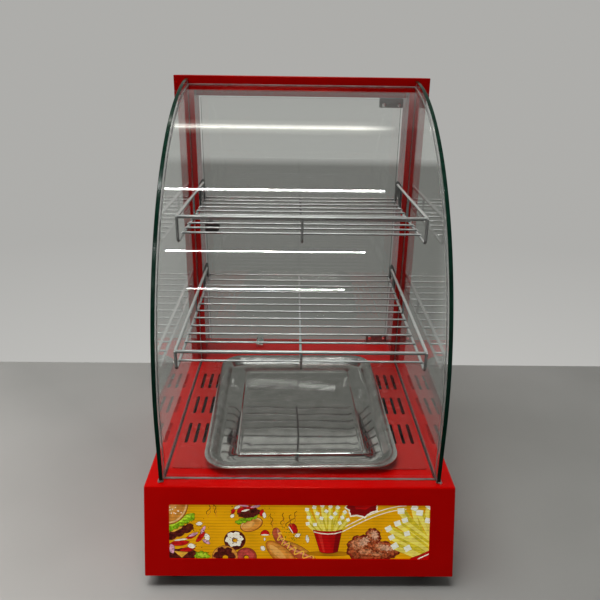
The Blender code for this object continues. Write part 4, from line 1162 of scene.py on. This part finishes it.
def posts():
    for side, sign in SIDES:
        node = f"post_{side}"
        low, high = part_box(node)
        lip = min(abs(low.x), abs(high.x))
        inner = lip + 0.006
        outer = max(abs(low.x), abs(high.x))
        front, rear = low.y, high.y
        outline = [
            (lip, front), (outer, front), (outer, rear), (inner, rear),
            (inner, front + SHEET), (lip, front + SHEET),
        ]
        shape = prism([(sign * x, y) for x, y in outline], "Z", low.z, high.z)
        soften(shape, 0.0010, 4, keep=lambda e: abs(e.verts[0].co.z - e.verts[1].co.z) > 0.1)
        piece(f"{node}_coated", shape, "cabinet", RED_SHADED, replaces=(node,))


def header():
    low, high = HEADER_LOW, HEADER_HIGH
    shape = box(low, high)
    soften(shape, 0.0014, 4, keep=lambda e: max(v.co.z for v in e.verts) > high.z - 0.001)
    item = piece("header_coated", shape, "cabinet", RED_SHADED, replaces=("header_cover",))
    hollow_low = (low.x + SHEET, low.y + SHEET, low.z - 0.01)
    cut(item, [box(hollow_low, (high.x - SHEET, high.y - SHEET, high.z - SHEET))])
    for index, x in enumerate((-0.15, -0.05, 0.05, 0.15)):
        head = cross_screw((x, high.y, (low.z + high.z) / 2), "Y", SCREW_RADIUS)
        piece(f"header_screw_{index}", head, "cabinet", SCREW_STEEL)


# Shelves


def shelf_matrix(name):
    """From the shelf's own frame, whose origin is its rearmost floor wire, to the row frame."""
    data = SHELVES[name]
    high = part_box(name)[1]
    tilt = Matrix.Rotation(math.radians(data["tilt"]), 4, "X")
    rear = tilt @ Vector((0, 0.004, 0))
    hook = tilt @ Vector((0, -0.024, data["rail"] + HOOK_TOP_RISE))
    return Matrix.Translation((0.0, high.y - rear.y, high.z - hook.z)) @ tilt


def shelf_shapes(data):
    front, rail = data["front"], data["rail"]
    shapes = []
    for index in range(data["wires"]):
        y = -index * WIRE_PITCH
        shapes.append(tube([(-RAIL_X, y, 0.0), (RAIL_X, y, 0.0)], 0.0015, 14))
    for x, radius in ((-RAIL_X, 0.002), (0.0, 0.00175), (RAIL_X, 0.002)):
        corners = [(x, 0.003, -LONG_DROP), (x, front, -LONG_DROP), (x, front, rail)]
        shapes.append(tube(rounded_path(corners, 0.005), radius, 14))
    for x in (-RAIL_X, RAIL_X):
        shapes.append(tube([(x, data["strut"], -LONG_DROP), (x, data["strut"], rail)], 0.0015, 12))
    turns = ((-RAIL_X, -0.030), (-RAIL_X, front), (RAIL_X, front), (RAIL_X, -0.030))
    corners = [(x, y, rail) for x, y in turns]
    shapes.append(tube(rounded_path(corners, 0.004), 0.00225, 16))
    for index in range(data["wires"]):
        for x in (-RAIL_X, 0.0, RAIL_X):
            y = -index * WIRE_PITCH
            weld = [(x - 0.0016, y, -0.0013), (x + 0.0016, y, -0.0013)]
            shapes.append(tube(weld, 0.0011, 8))
    return shapes


def hook_plate(sign, rail):
    """The plate that hangs a shelf on a lug, with a notch that is open below."""
    low = -LONG_DROP
    front, rear = -0.052, 0.004
    notch = ((-0.034, low), (-0.034, 0.009), (-0.008, 0.009), (-0.008, low))
    outline = [(front, low), *notch, (rear - 0.004, low)]
    for angle in spread(0.3, math.pi / 2, 4):
        outline.append((rear - 0.004 + 0.004 * math.sin(angle), low + 0.006 - 0.006 * math.cos(angle)))
    for angle in spread(0.0, math.pi / 2, 10):
        rise = (0.010 + HOOK_TOP_RISE) * math.sin(angle)
        outline.append((rear - 0.024 + 0.024 * math.cos(angle), rail - 0.010 + rise))
    outline.append((front, rail + 0.001))
    faces = sorted((sign * 0.1585, sign * 0.1605))
    return soften(prism(outline, "X", *faces), 0.0004, 2)


def shelves():
    for name, data in SHELVES.items():
        matrix = shelf_matrix(name)
        wires = moved(together(shelf_shapes(data)), matrix)
        piece(f"{name}_wires", wires, data["body"], CHROME, replaces=(name,))
        hooks = moved(together([hook_plate(-1, data["rail"]), hook_plate(1, data["rail"])]), matrix)
        piece(f"{name}_hooks", hooks, data["body"], HOOK_STEEL)


# Tray


def tray():
    """A pressed tray: rolled rim, sloping walls and a floor with a raised line round it."""
    low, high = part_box("food_tray")
    centre = middle_of(low, high, "xy")
    top = high.z - low.z
    size = (0.250, 0.310)
    sheet = 0.0008
    upper = [
        (0.0001, top - 0.0026), (0.0000, top - 0.0014), (0.0004, top - 0.0004), (0.0013, top),
        (0.0080, top), (0.0096, top - 0.0004), (0.0108, top - 0.0016), (0.0160, sheet + 0.0024),
        (0.0172, sheet + 0.0010), (0.0190, sheet + 0.0002), (0.0210, sheet), (0.0398, sheet),
        (0.0406, sheet + 0.0003), (0.0414, sheet + 0.0011), (0.0422, sheet + 0.0014),
        (0.0440, sheet + 0.0014), (0.0452, sheet + 0.0012), (0.0462, sheet + 0.0007),
        (0.0480, sheet + 0.0005),
    ]
    under = [(inset + 0.0003, height - sheet) for inset, height in reversed(upper[4:])]
    under += [(0.0018, top - sheet), (0.0010, top - 0.0014), (0.0009, top - 0.0026)]
    shape = bmesh.new()
    rings = []
    for inset, height in upper + under:
        radius = max(0.034 - inset * 0.72, 0.005)
        outline = rounded_rectangle(size[0] - 2 * inset, size[1] - 2 * inset, radius, 12)
        rings.append([shape.verts.new((x, y, height)) for x, y in outline])
    last = len(upper) - 1
    join_rings(shape, rings[:last + 1])
    join_rings(shape, rings[last + 1:] + [rings[0]])
    tray_floor(shape, rings[last], upper[last][1])
    tray_floor(shape, rings[last + 1], under[0][1])
    spin = Matrix.Rotation(math.radians(1.2), 4, "Z")
    moved(shape, Matrix.Translation((*centre, low.z)) @ spin)
    for face in shape.faces:
        face.material_index = int(face.calc_center_median().z > low.z + 0.0030)
    piece("tray_pressed", shape, "tray", STAINLESS, RIM_STEEL, replaces=("food_tray",), smooth=60)


def tray_floor(shape, ring, height):
    """Fills a ring with rings that shrink to the middle, with the floor's slight unevenness."""
    rings = [ring]
    for share in spread(0.94, 0.06, 15):
        inner = []
        for vertex in ring:
            x, y = vertex.co.x * share, vertex.co.y * share
            fade = min(1.0, (1 - share) * 5)
            wave = 0.00035 * fade * noise.noise(Vector((x * 17, y * 12, 1.7)))
            inner.append(shape.verts.new((x, y, height + wave)))
        rings.append(inner)
    join_rings(shape, rings)
    shape.faces.new(rings[-1])


# Door


def door():
    centre = middle_of(DOOR_LOW, DOOR_HIGH, "xz")
    outline = rounded_rectangle(DOOR_HIGH.x - DOOR_LOW.x, DOOR_HIGH.z - DOOR_LOW.z, 0.0020, 4, centre)
    shape = prism(outline, "Y", DOOR_LOW.y, DOOR_HIGH.y)
    rims = [e for e in shape.edges if abs(e.verts[0].co.y - e.verts[1].co.y) < 1e-6]
    bevel(shape, rims, 0.0002, 1)
    for face in shape.faces:
        face.material_index = 0 if abs(face.normal.y) > 0.98 else 1
    piece("door_pane", shape, "door", GLASS, EDGE, replaces=("door_glass",), smooth=PANE_SMOOTH)
    for place in ("top", "bottom"):
        door_clamp(place)
    handle()


def door_clamp(place):
    node = f"door_hinge_{place}"
    low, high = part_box(node)
    top = place == "top"
    pin = 0.006
    body_low = low.z if top else low.z + pin
    body_high = high.z - pin if top else high.z
    jaws = (("front", low.y, DOOR_LOW.y - 0.0004), ("rear", DOOR_HIGH.y + 0.0004, high.y))
    for face, near, far in jaws:
        outline = rounded_rectangle(high.x - low.x, body_high - body_low, 0.0016, 5,
                                    ((low.x + high.x) / 2, (body_low + body_high) / 2))
        shape = soften(prism(outline, "Y", near, far), 0.0007, 3)
        replaced = (node,) if face == "front" else ()
        piece(f"{node}_{face}_jaw", shape, "door", CLAMP_STEEL, replaces=replaced)
        pad_near, pad_far = (far, far + 0.00035) if face == "front" else (near - 0.00035, near)
        pad_low = (low.x + 0.0006, pad_near, body_low + 0.0006)
        pad = box(pad_low, (high.x - 0.0006, pad_far, body_high - 0.0006))
        piece(f"{node}_{face}_pad", pad, "door", GASKET)
    bridge_z = (body_high - 0.0014, body_high) if top else (body_low, body_low + 0.0014)
    bridge_low = (low.x + 0.0005, DOOR_LOW.y - 0.001, bridge_z[0])
    bridge = box(bridge_low, (high.x - 0.0005, DOOR_HIGH.y + 0.001, bridge_z[1]), 0.0002, 1)
    piece(f"{node}_bridge", bridge, "door", CLAMP_STEEL)
    pivot = (0.155, (low.y + high.y) / 2)
    reach = (body_high - 0.0005, high.z) if top else (low.z, body_low + 0.0005)
    tip, root = (reach[1], reach[0]) if top else reach
    profile = [(0.0024, tip), (0.0030, tip + (0.0006 if not top else -0.0006)), (0.0030, root)]
    piece(f"{node}_pin", lathe(profile, "Z", pivot, 32), "door", SCREW_STEEL)
    for side in ("inner", "outer"):
        screw = f"{node}_screw_{side}"
        screw_low, screw_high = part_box(screw)
        x, z = middle_of(screw_low, screw_high, "xz")
        head = cross_screw((x, low.y, z), "Y", 0.0033, 0.0019, -1)
        piece(f"{screw}_head", head, "door", HEAD_STEEL, replaces=(screw,))
        tail = cross_screw((x, high.y, z), "Y", 0.0028, 0.0010)
        piece(f"{screw}_tail", tail, "door", SCREW_STEEL)


def handle():
    """A moulded grip on the pane's free edge, with ribs on its finger pull."""
    low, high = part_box("door_handle")
    front, rear = low.y, DOOR_HIGH.y + 0.0035
    middle = (low.z + high.z) / 2
    radius = (high.z - low.z) / 2
    outline = [(low.x, low.z)]
    for angle in spread(-math.pi / 2, math.pi / 2, 24):
        outline.append((high.x - radius + radius * math.cos(angle), middle + radius * math.sin(angle)))
    outline.append((low.x, high.z))
    shape = soften(prism(outline, "Y", front, rear), 0.0012, 4)
    item = piece("handle_grip", shape, "door", BLACK, replaces=("door_handle",))
    slot_low = (DOOR_LOW.x - 0.0002, DOOR_LOW.y - 0.0002, low.z - 0.01)
    cut(item, [box(slot_low, (0.0, DOOR_HIGH.y + 0.0002, high.z + 0.01))])
    pull = box((-0.1605, rear - 0.002, low.z + 0.001), (-0.1525, high.y, high.z - 0.001), 0.0024, 5)
    piece("handle_pull", pull, "door", BLACK)
    ribs = []
    for z in spread(low.z + 0.0045, high.z - 0.0045, 4):
        rib_low = (-0.1529, rear + 0.006, z - 0.0005)
        ribs.append(box(rib_low, (-0.1521, high.y - 0.003, z + 0.0005), 0.0002, 2))
    piece("handle_ribs", together(ribs), "door", BLACK)


def catch():
    low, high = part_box("door_catch_magnet")
    block = box(low, high, 0.0011, 4)
    piece("catch_block", block, "cabinet", CATCH_STEEL, replaces=("door_catch_magnet",))
    head = cross_screw(((low.x + high.x) / 2, (low.y + high.y) / 2 - 0.004, high.z), "Z", 0.0026, 0.0012)
    piece("catch_screw", head, "cabinet", SCREW_STEEL)
    low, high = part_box("door_strike")
    piece("strike_plate", box(low, high, 0.0003, 2), "door", SCREW_STEEL, replaces=("door_strike",))


# Controls


def control_plate():
    low, high = PANEL_LOW, PANEL_HIGH
    outline = rounded_rectangle(high.x - low.x, high.z - low.z, 0.004, 8, (0.0, (low.z + high.z) / 2))
    shape = soften(prism(outline, "Y", low.y, high.y), 0.0003, 2)
    item = piece("control_plate", shape, "cabinet", PLATE_STEEL, replaces=("control_panel",))
    cuts = []
    for node in ("power_switch_housing", "lamp_switch_housing"):
        inner_low, inner_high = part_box(node)
        rim = 0.0016
        hole_low = (inner_low.x + rim, low.y - 0.01, inner_low.z + rim)
        cuts.append(box(hole_low, (inner_high.x - rim, high.y + 0.01, inner_high.z - rim)))
    for node, radius in (("thermostat_knob", 0.0045), ("pilot_lamp", 0.0053)):
        inner_low, inner_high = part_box(node)
        centre = middle_of(inner_low, inner_high, "xz")
        cuts.append(prism(circle(radius, 32, centre), "Y", low.y - 0.01, high.y + 0.01))
    cut(item, cuts)
    for index, (x, z) in enumerate(((low.x, low.z), (high.x, low.z), (low.x, high.z), (high.x, high.z))):
        inset_x = 0.007 if x < 0 else -0.007
        inset_z = 0.007 if z < (low.z + high.z) / 2 else -0.007
        head = cross_screw((x + inset_x, high.y, z + inset_z), "Y", 0.0032)
        piece(f"control_screw_{index}", head, "cabinet", SCREW_STEEL)


def flat_mark(name, outlines, body, y, material):
    shapes = [prism(outline, "Y", y, y + MARK_THICK) for outline in outlines]
    piece(name, together(shapes), body, material)


def switches():
    for name in ("power", "lamp"):
        node = f"{name}_switch_housing"
        low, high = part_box(node)
        rocker_low, rocker_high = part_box(f"{name}_switch_rocker")
        centre = middle_of(low, high, "xz")
        width, height = high.x - low.x, high.z - low.z
        face = high.y
        outline = rounded_rectangle(width, height, 0.0018, 6, centre)
        collar = prism(outline, "Y", PANEL_HIGH.y + GAP, face)
        soften(collar, 0.0006, 3, keep=lambda e: min(v.co.y for v in e.verts) > face - 0.0001)
        item = piece(f"{name}_switch_collar", collar, "cabinet", BLACK, replaces=(node,))
        well = box((centre[0] - width / 2 + 0.0033, low.y - 0.01, centre[1] - height / 2 + 0.0033),
                   (centre[0] + width / 2 - 0.0033, face + 0.01, centre[1] + height / 2 - 0.0033))
        cut(item, [well])
        back_low = (low.x + 0.0020, low.y, low.z + 0.0020)
        back = box(back_low, (high.x - 0.0020, low.y + 0.005, high.z - 0.0020), 0.0006)
        piece(f"{name}_switch_case", back, "cabinet", BLACK)
        rocker(name, rocker_low, rocker_high)


def rocker(name, low, high):
    """The tipping key: flat on its pressed half, rising on the other, with its two marks."""
    middle = (low.x + high.x) / 2
    reach = (high.x - low.x) / 2
    face = low.y + 0.0040
    foot = reach - 0.0016
    outline = [(middle - foot, low.y), (middle + foot, low.y), (middle + reach, face - 0.0002)]
    for share in spread(1.0, -1.0, 16):
        lift = max(0.0, -share) ** 1.25 * (high.y - face)
        outline.append((middle + share * reach, face + lift))
    shape = soften(prism(outline, "Z", low.z, high.z), 0.0004, 3, least=50)
    body = f"{name}_rocker"
    piece(f"{name}_key", shape, body, RED_LENS, replaces=(f"{name}_switch_rocker",))
    centre_z = (low.z + high.z) / 2
    bar = [(-0.00025, -0.0017), (0.00025, -0.0017), (0.00025, 0.0017), (-0.00025, 0.0017)]
    slope = Matrix.Rotation(math.atan2(high.y - face, reach), 4, "Z")
    rise = Matrix.Translation((middle - reach * 0.55, face + (high.y - face) * 0.52, centre_z))
    bar_shape = moved(prism(bar, "Y", -0.0001, 0.0002), rise @ slope.inverted())
    piece(f"{name}_mark_on", bar_shape, body, MARK)
    around = [(0.0014 * math.cos(a), 0.0, 0.0014 * math.sin(a)) for a in spread(0.0, 2 * math.pi, 28)]
    to_lower_half = Matrix.Translation((middle + reach * 0.5, face, centre_z))
    piece(f"{name}_mark_off", moved(tube(around, 0.00022, 6), to_lower_half), body, MARK)


def knob():
    """A knurled knob with a grip bar, and the dial printed round it."""
    low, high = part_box("thermostat_knob")
    centre = middle_of(low, high, "xz")
    radius = (high.x - low.x) / 2
    near = low.y
    sides = 96
    profile = (
        (radius, near), (radius, near + 0.0014), (radius - 0.0006, near + 0.0022),
        (radius - 0.0030, near + 0.0044), (radius - 0.0035, near + 0.0082),
        (radius - 0.0042, near + 0.0092), (radius - 0.0056, near + 0.0096),
        (radius - 0.0100, near + 0.0092), (0.0030, near + 0.0090),
    )
    shape = bmesh.new()
    rings = []
    for index, (reach, y) in enumerate(profile):
        ring = []
        for step in range(sides):
            angle = 2 * math.pi * step / sides
            knurl = 0.00028 * math.cos(angle * 32) if 3 <= index <= 5 else 0.0
            x = centre[0] + (reach + knurl) * math.cos(angle)
            z = centre[1] + (reach + knurl) * math.sin(angle)
            ring.append(shape.verts.new((x, y, z)))
        rings.append(ring)
    join_rings(shape, rings)
    shape.faces.new(rings[0])
    shape.faces.new(rings[-1])
    piece("knob_skirt", shape, "knob", BLACK, replaces=("thermostat_knob",))
    grip = box((centre[0] - 0.0032, near + 0.0080, centre[1] - radius + 0.0050),
               (centre[0] + 0.0032, high.y, centre[1] + radius - 0.0050), 0.0015, 5)
    piece("knob_grip", grip, "knob", BLACK)
    left, right = centre[0] - 0.0004, centre[0] + 0.0004
    inner, outer = centre[1] + 0.002, centre[1] + radius - 0.0068
    pointer = [(left, inner), (right, inner), (right, outer), (left, outer)]
    flat_mark("knob_pointer", [pointer], "knob", high.y - MARK_THICK, MARK)
    dial(centre, radius)


def dial(centre, radius):
    """Ticks and the numbers of a plain dial, on the plate round the knob."""
    ticks = []
    y = PANEL_HIGH.y
    for step in range(13):
        angle = math.pi / 2 + math.radians(25 * step)
        spin = Matrix.Rotation(angle, 2)
        near, far = radius + 0.0016, radius + (0.0044 if step % 2 == 0 else 0.0032)
        ticks.append([tuple(Vector(centre) + spin @ Vector(p)) for p in
                      ((near, -0.0002), (far, -0.0002), (far, 0.0002), (near, 0.0002))])
    flat_mark("dial_ticks", ticks, "cabinet", y, BLACK)
    for step in range(7):
        angle = math.pi / 2 + math.radians(50 * step)
        text = bpy.data.curves.new(f"dial_number_{step}", "FONT")
        text.body = str(step)
        text.size = 0.0052
        text.align_x, text.align_y = "CENTER", "CENTER"
        text.extrude = 0.00006
        item = bpy.data.objects.new(f"dial_number_{step}", text)
        bpy.context.scene.collection.objects.link(item)
        item.location = (centre[0] + (radius + 0.0078) * math.cos(angle), y + 0.00006,
                         centre[1] + (radius + 0.0078) * math.sin(angle))
        item.rotation_euler = (math.pi / 2, 0.0, math.pi)
        text.materials.append(BLACK)
        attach(item, "cabinet")


def pilot():
    low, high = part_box("pilot_lamp")
    centre = middle_of(low, high, "xz")
    face = PANEL_HIGH.y + GAP
    brim = ((0.0050, 0.0), (0.0068, 0.0), (0.0068, 0.0009), (0.0062, 0.0014), (0.0050, 0.0014))
    bezel = [(0.0050, low.y)] + [(reach, face + out) for reach, out in brim]
    piece("pilot_bezel", lathe(bezel, "Y", centre, 40), "cabinet", SCREW_STEEL, replaces=("pilot_lamp",))
    dome = [(0.0048, face + 0.0013)]
    for angle in spread(0.0, 1.45, 10):
        rise = (high.y - face - 0.0014) * math.sin(angle)
        dome.append((0.0048 * math.cos(angle), face + 0.0014 + rise))
    piece("pilot_lens", lathe(dome, "Y", centre, 40), "cabinet", RED_LENS)


def gland():
    """A ribbed strain relief with an open bore."""
    low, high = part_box("cable_gland")
    centre = middle_of(low, high, "xz")
    wall = BASE_HIGH.y
    inside = wall - SHEET - GAP
    profile = [(0.0042, low.y), (0.0108, low.y), (0.0110, low.y + 0.0004)]
    profile += [(0.0110, inside), (0.0080, inside)]
    collar = (
        (0.0080, GAP), (0.0106, GAP), (0.0110, 0.0008), (0.0110, 0.0030), (0.0104, 0.0037),
        (0.0086, 0.0040),
    )
    profile += [(reach, wall + out) for reach, out in collar]
    start = wall + 0.0046
    for rib in range(4):
        y = start + rib * 0.0026
        reach = 0.0086 - 0.0004 * rib
        wave = ((0.0, 0.0), (0.0, 0.0012), (0.0011, 0.0015), (0.0011, 0.0023))
        profile += [(reach - inset, y + along) for inset, along in wave]
    profile += [(0.0066, high.y - 0.0003), (0.0060, high.y), (0.0044, high.y), (0.0042, high.y - 0.0003)]
    shape = lathe(profile, "Y", centre, 48, bored=True)
    piece("gland_ribbed", shape, "cabinet", BLACK, replaces=("cable_gland",))


def small_screws():
    """Screws that hold the bottom plate and the posts."""
    low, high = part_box("base_bottom_plate")
    rows = (low.y + 0.014, (low.y + high.y) / 2, high.y - 0.014)
    spots = [(x, y) for x in (low.x + 0.014, 0.0, high.x - 0.014) for y in rows]
    for index, (x, y) in enumerate(spots):
        if (x, y) == (0.0, (low.y + high.y) / 2):
            continue
        screw = cross_screw((x, y, low.z), "Z", 0.0032, 0.0014, -1)
        piece(f"bottom_screw_{index}", screw, "cabinet", SCREW_STEEL)
    for side, sign in SIDES:
        post_low, post_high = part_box(f"post_{side}")
        x = (post_low.x + post_high.x) / 2 + sign * 0.002
        for place, z in (("low", post_low.z + 0.020), ("high", post_high.z - 0.020)):
            screw = cross_screw((x, post_high.y, z), "Y", SCREW_RADIUS)
            piece(f"post_screw_{side}_{place}", screw, "cabinet", SCREW_STEEL)


def finish_packed_parts():
    """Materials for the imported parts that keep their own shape."""
    finishes = (
        (RED_INNER, "floor_plate"),
        (RED_SHADED, "header_plate"),
        (ZINC, "base_bottom_plate", "lamp_partition"),
        (LAMP, "lamp_tube"),
        (WHITE, "lamp_holder_left", "lamp_holder_right", "lamp_driver", "terminal_block"),
        (DARK_STEEL, "heating_element", "heater_bracket_front", "heater_bracket_rear"),
        (SHIELD_SHADE_STEEL, "heat_shield"),
        (CHROME, "shelf_lug_upper_left", "shelf_lug_upper_right"),
        (CHROME, "shelf_lug_lower_left", "shelf_lug_lower_right"),
        (BLACK, "pivot_bush_top", "pivot_bush_bottom", "thermostat_body"),
        (BRASS, "thermostat_sensor"),
        (SLEEVE, "heater_lead", "lamp_lead"),
    )
    for material, *nodes in finishes:
        for node in nodes:
            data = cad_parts[node].data
            data.materials.clear()
            data.materials.append(material)
            keep_sharp(data)


# Surroundings


def stage():
    """A pale table that ends behind the cabinet, in an even grey room with long ceiling lamps."""
    material, tree, shader = new_material("table_top", (0.38, 0.38, 0.365), 0.42)
    cloud_tones = ((0.35, (0.545, 0.54, 0.52)), (0.65, (0.635, 0.63, 0.61)))
    cloud = ramp_of(tree, noise_of(tree, 2.2, 3.0), cloud_tones)
    # Painted sheen and shade: the table's colour is lighter towards the front left and darker to the
    # right and rear, as the lamps' sheen and the cabinet's shadow fall on it.
    place = axes_of(tree, "Object")
    diagonal = value_of(tree, "ADD", place["X"], place["Y"])
    sheen_tones = ((0.0, (0.62, 0.62, 0.61)), (1.0, (1.0, 0.985, 0.97)))
    sheen = ramp_of(tree, range_of(tree, diagonal, 1.0, 0.0, -0.65, -0.24), sheen_tones)
    tree.links.new(product_of(tree, cloud, sheen), shader.inputs["Base Color"])
    add_bump(tree, shader, noise_of(tree, 500.0), 0.05, 0.0001)
    table = surround("table", to_mesh("table", box((-4.0, -4.0, -0.04), (4.0, WALL_Y, 0.0))), material)
    table.visible_glossy = False
    wall_card()
    lamps()
    room()


def surround(name, mesh, material):
    """An object of the stage."""
    item = bpy.data.objects.new(name, mesh)
    item.data.materials.append(material)
    bpy.context.scene.collection.objects.link(item)
    return item


def bare_material(name):
    """A material with nothing in it but its output."""
    material = bpy.data.materials.new(name)
    material.use_nodes = True
    tree = material.node_tree
    tree.nodes.clear()
    out = tree.nodes.new("ShaderNodeOutputMaterial")
    return material, tree, out.inputs["Surface"]


def glow_of(tree, colour, strength=1.0):
    glow = tree.nodes.new("ShaderNodeEmission")
    glow.inputs["Strength"].default_value = strength
    tree.links.new(colour, glow.inputs["Color"])
    return glow.outputs["Emission"]


def wall_card():
    """The wall as the glass shows it: behind the cabinet it lies in the cabinet's own shade.

    It is there for light that comes through the glass only, so other views stay free of it.
    """
    material, tree, surface = bare_material("wall_card")
    place = axes_of(tree, "Object")
    from_left = range_of(tree, place["X"], 0.0, 1.0, SHADE_LEFT, SHADE_LEFT + 0.02)
    from_right = range_of(tree, place["X"], 0.0, 1.0, SHADE_RIGHT, SHADE_RIGHT - 0.05)
    from_top = range_of(tree, place["Z"], 0.0, 1.0, SHADE_TOP, SHADE_TOP - 0.016)
    shaded = value_of(tree, "MULTIPLY", value_of(tree, "MULTIPLY", from_left, from_right), from_top)
    tones = ramp_of(tree, shaded, ((0.0, WALL_LIT), (1.0, WALL_SHADED)))
    open_back = tree.nodes.new("ShaderNodeMixShader")
    side = tree.nodes.new("ShaderNodeNewGeometry")
    tree.links.new(side.outputs["Backfacing"], open_back.inputs["Fac"])
    tree.links.new(glow_of(tree, tones), open_back.inputs[1])
    tree.links.new(tree.nodes.new("ShaderNodeBsdfTransparent").outputs["BSDF"], open_back.inputs[2])
    tree.links.new(open_back.outputs["Shader"], surface)
    sheet = bpy.data.meshes.new("wall_card")
    corners = [(x, WALL_Y, z) for x, z in ((-1.6, 0.001), (1.6, 0.001), (1.6, 1.3), (-1.6, 1.3))]
    sheet.from_pydata(corners, [], [(0, 1, 2, 3)])
    card = surround("wall_card", sheet, material)
    card.visible_camera = False
    card.visible_diffuse = False
    card.visible_glossy = False
    card.visible_shadow = False


def area_light(name, place, size, radiance):
    light = bpy.data.lights.new(name, "AREA")
    light.shape = "RECTANGLE"
    light.size, light.size_y = size
    light.energy = radiance * math.pi * size[0] * size[1]
    item = bpy.data.objects.new(name, light)
    item.location = place
    bpy.context.scene.collection.objects.link(item)
    return item


def lamps():
    """Long ceiling lamps about 1.4 m apart, a shaded one behind them, and one wide soft light."""
    rows = ((-0.49, 0.92, 0.030), (-1.80, 1.05, 0.030), (-3.30, 1.15, 0.050))
    for index, (y, length, width) in enumerate(rows):
        place = (LAMP_END_X - length / 2, y, LAMP_Z)
        lamp = area_light(f"ceiling_lamp_{index}", place, (length, width), LAMP_RADIANCE)
        lamp.visible_diffuse = index == 0
    soft = area_light("soft_light", (-1.1, 0.0, 2.6), (2.4, 2.0), 2.9)
    soft.visible_glossy = False
    soft.visible_transmission = False
    shaded_lamp()


def shaded_lamp():
    """A lamp behind a diffuser, brightest along its middle."""
    material, tree, surface = bare_material("shaded_lamp")
    place = axes_of(tree, "Generated")
    dark, dim, warm, white = (0.0, 0.0, 0.0), (0.16, 0.16, 0.14), (1.0, 0.98, 0.90), (1.0, 1.0, 1.0)
    sides = ((0.0, dark), (0.36, dim), (0.45, warm), (0.55, warm), (0.64, dim), (1.0, dark))
    ends = ((0.0, dark), (0.12, white), (0.86, white), (1.0, dark))
    light = product_of(tree, ramp_of(tree, place["Y"], sides), ramp_of(tree, place["X"], ends))
    tree.links.new(glow_of(tree, light, 7.2), surface)
    low = (LAMP_END_X - 1.0, SHADED_LAMP_Y - SHADED_LAMP_REACH, LAMP_Z)
    high = (LAMP_END_X + 0.06, SHADED_LAMP_Y + SHADED_LAMP_REACH, LAMP_Z + 0.01)
    item = surround("shaded_lamp", to_mesh("shaded_lamp", box(low, high)), material)
    item.visible_camera = False


def room():
    """The grey room; its near side and what lies below light the cabinet less than they show."""
    world = bpy.data.worlds.new("room")
    world.use_nodes = True
    tree = world.node_tree
    sky = tree.nodes["Background"]
    ray = axes_of(tree, "Generated")
    levels = (
        (0.0, 0.48), (0.275, 0.51), (0.375, 0.425), (0.55, 0.42), (0.67, 0.34), (0.78, 0.20),
        (1.0, 0.17),
    )
    tones = [(height, (level, level * 0.992, level * 0.955)) for height, level in levels]
    height = range_of(tree, ray["Z"], 0.0, 1.0, -1.0, 1.0)
    tree.links.new(ramp_of(tree, height, tones), sky.inputs["Color"])
    near_side = range_of(tree, ray["Y"], 0.20, 1.0, -0.5, 0.3)
    below = range_of(tree, ray["Z"], 0.15, 1.0, -0.55, -0.15)
    unseen = value_of(tree, "MULTIPLY", near_side, below)
    path = tree.nodes.new("ShaderNodeLightPath")
    strength = value_of(tree, "MAXIMUM", path.outputs["Is Camera Ray"], unseen)
    tree.links.new(strength, sky.inputs["Strength"])
    bpy.context.scene.world = world


def camera():
    pitch, yaw, roll = (math.radians(a) for a in (CAMERA_PITCH, CAMERA_YAW, CAMERA_ROLL))
    ahead = Vector((math.sin(yaw) * math.cos(pitch), math.cos(yaw) * math.cos(pitch), -math.sin(pitch)))
    right = Vector((math.cos(yaw), -math.sin(yaw), 0.0))
    up = right.cross(ahead)
    across = math.cos(roll) * right + math.sin(roll) * up
    upward = -math.sin(roll) * right + math.cos(roll) * up
    data = bpy.data.cameras.new("camera")
    data.lens = CAMERA_LENS
    data.sensor_width = 36.0
    item = bpy.data.objects.new("camera", data)
    turn = Matrix((across, upward, -ahead)).transposed()
    item.matrix_world = Matrix.Translation(CAMERA_PLACE) @ turn.to_4x4()
    bpy.context.scene.collection.objects.link(item)
    bpy.context.scene.camera = item


base_housing()
feet()
picture_panel()
side_panes()
front_pane()
beads()
posts()
header()
shelves()
tray()
door()
catch()
control_plate()
switches()
knob()
pilot()
gland()
small_screws()
finish_packed_parts()
stage()
camera()
bpy.context.scene.view_settings.view_transform = "Standard"
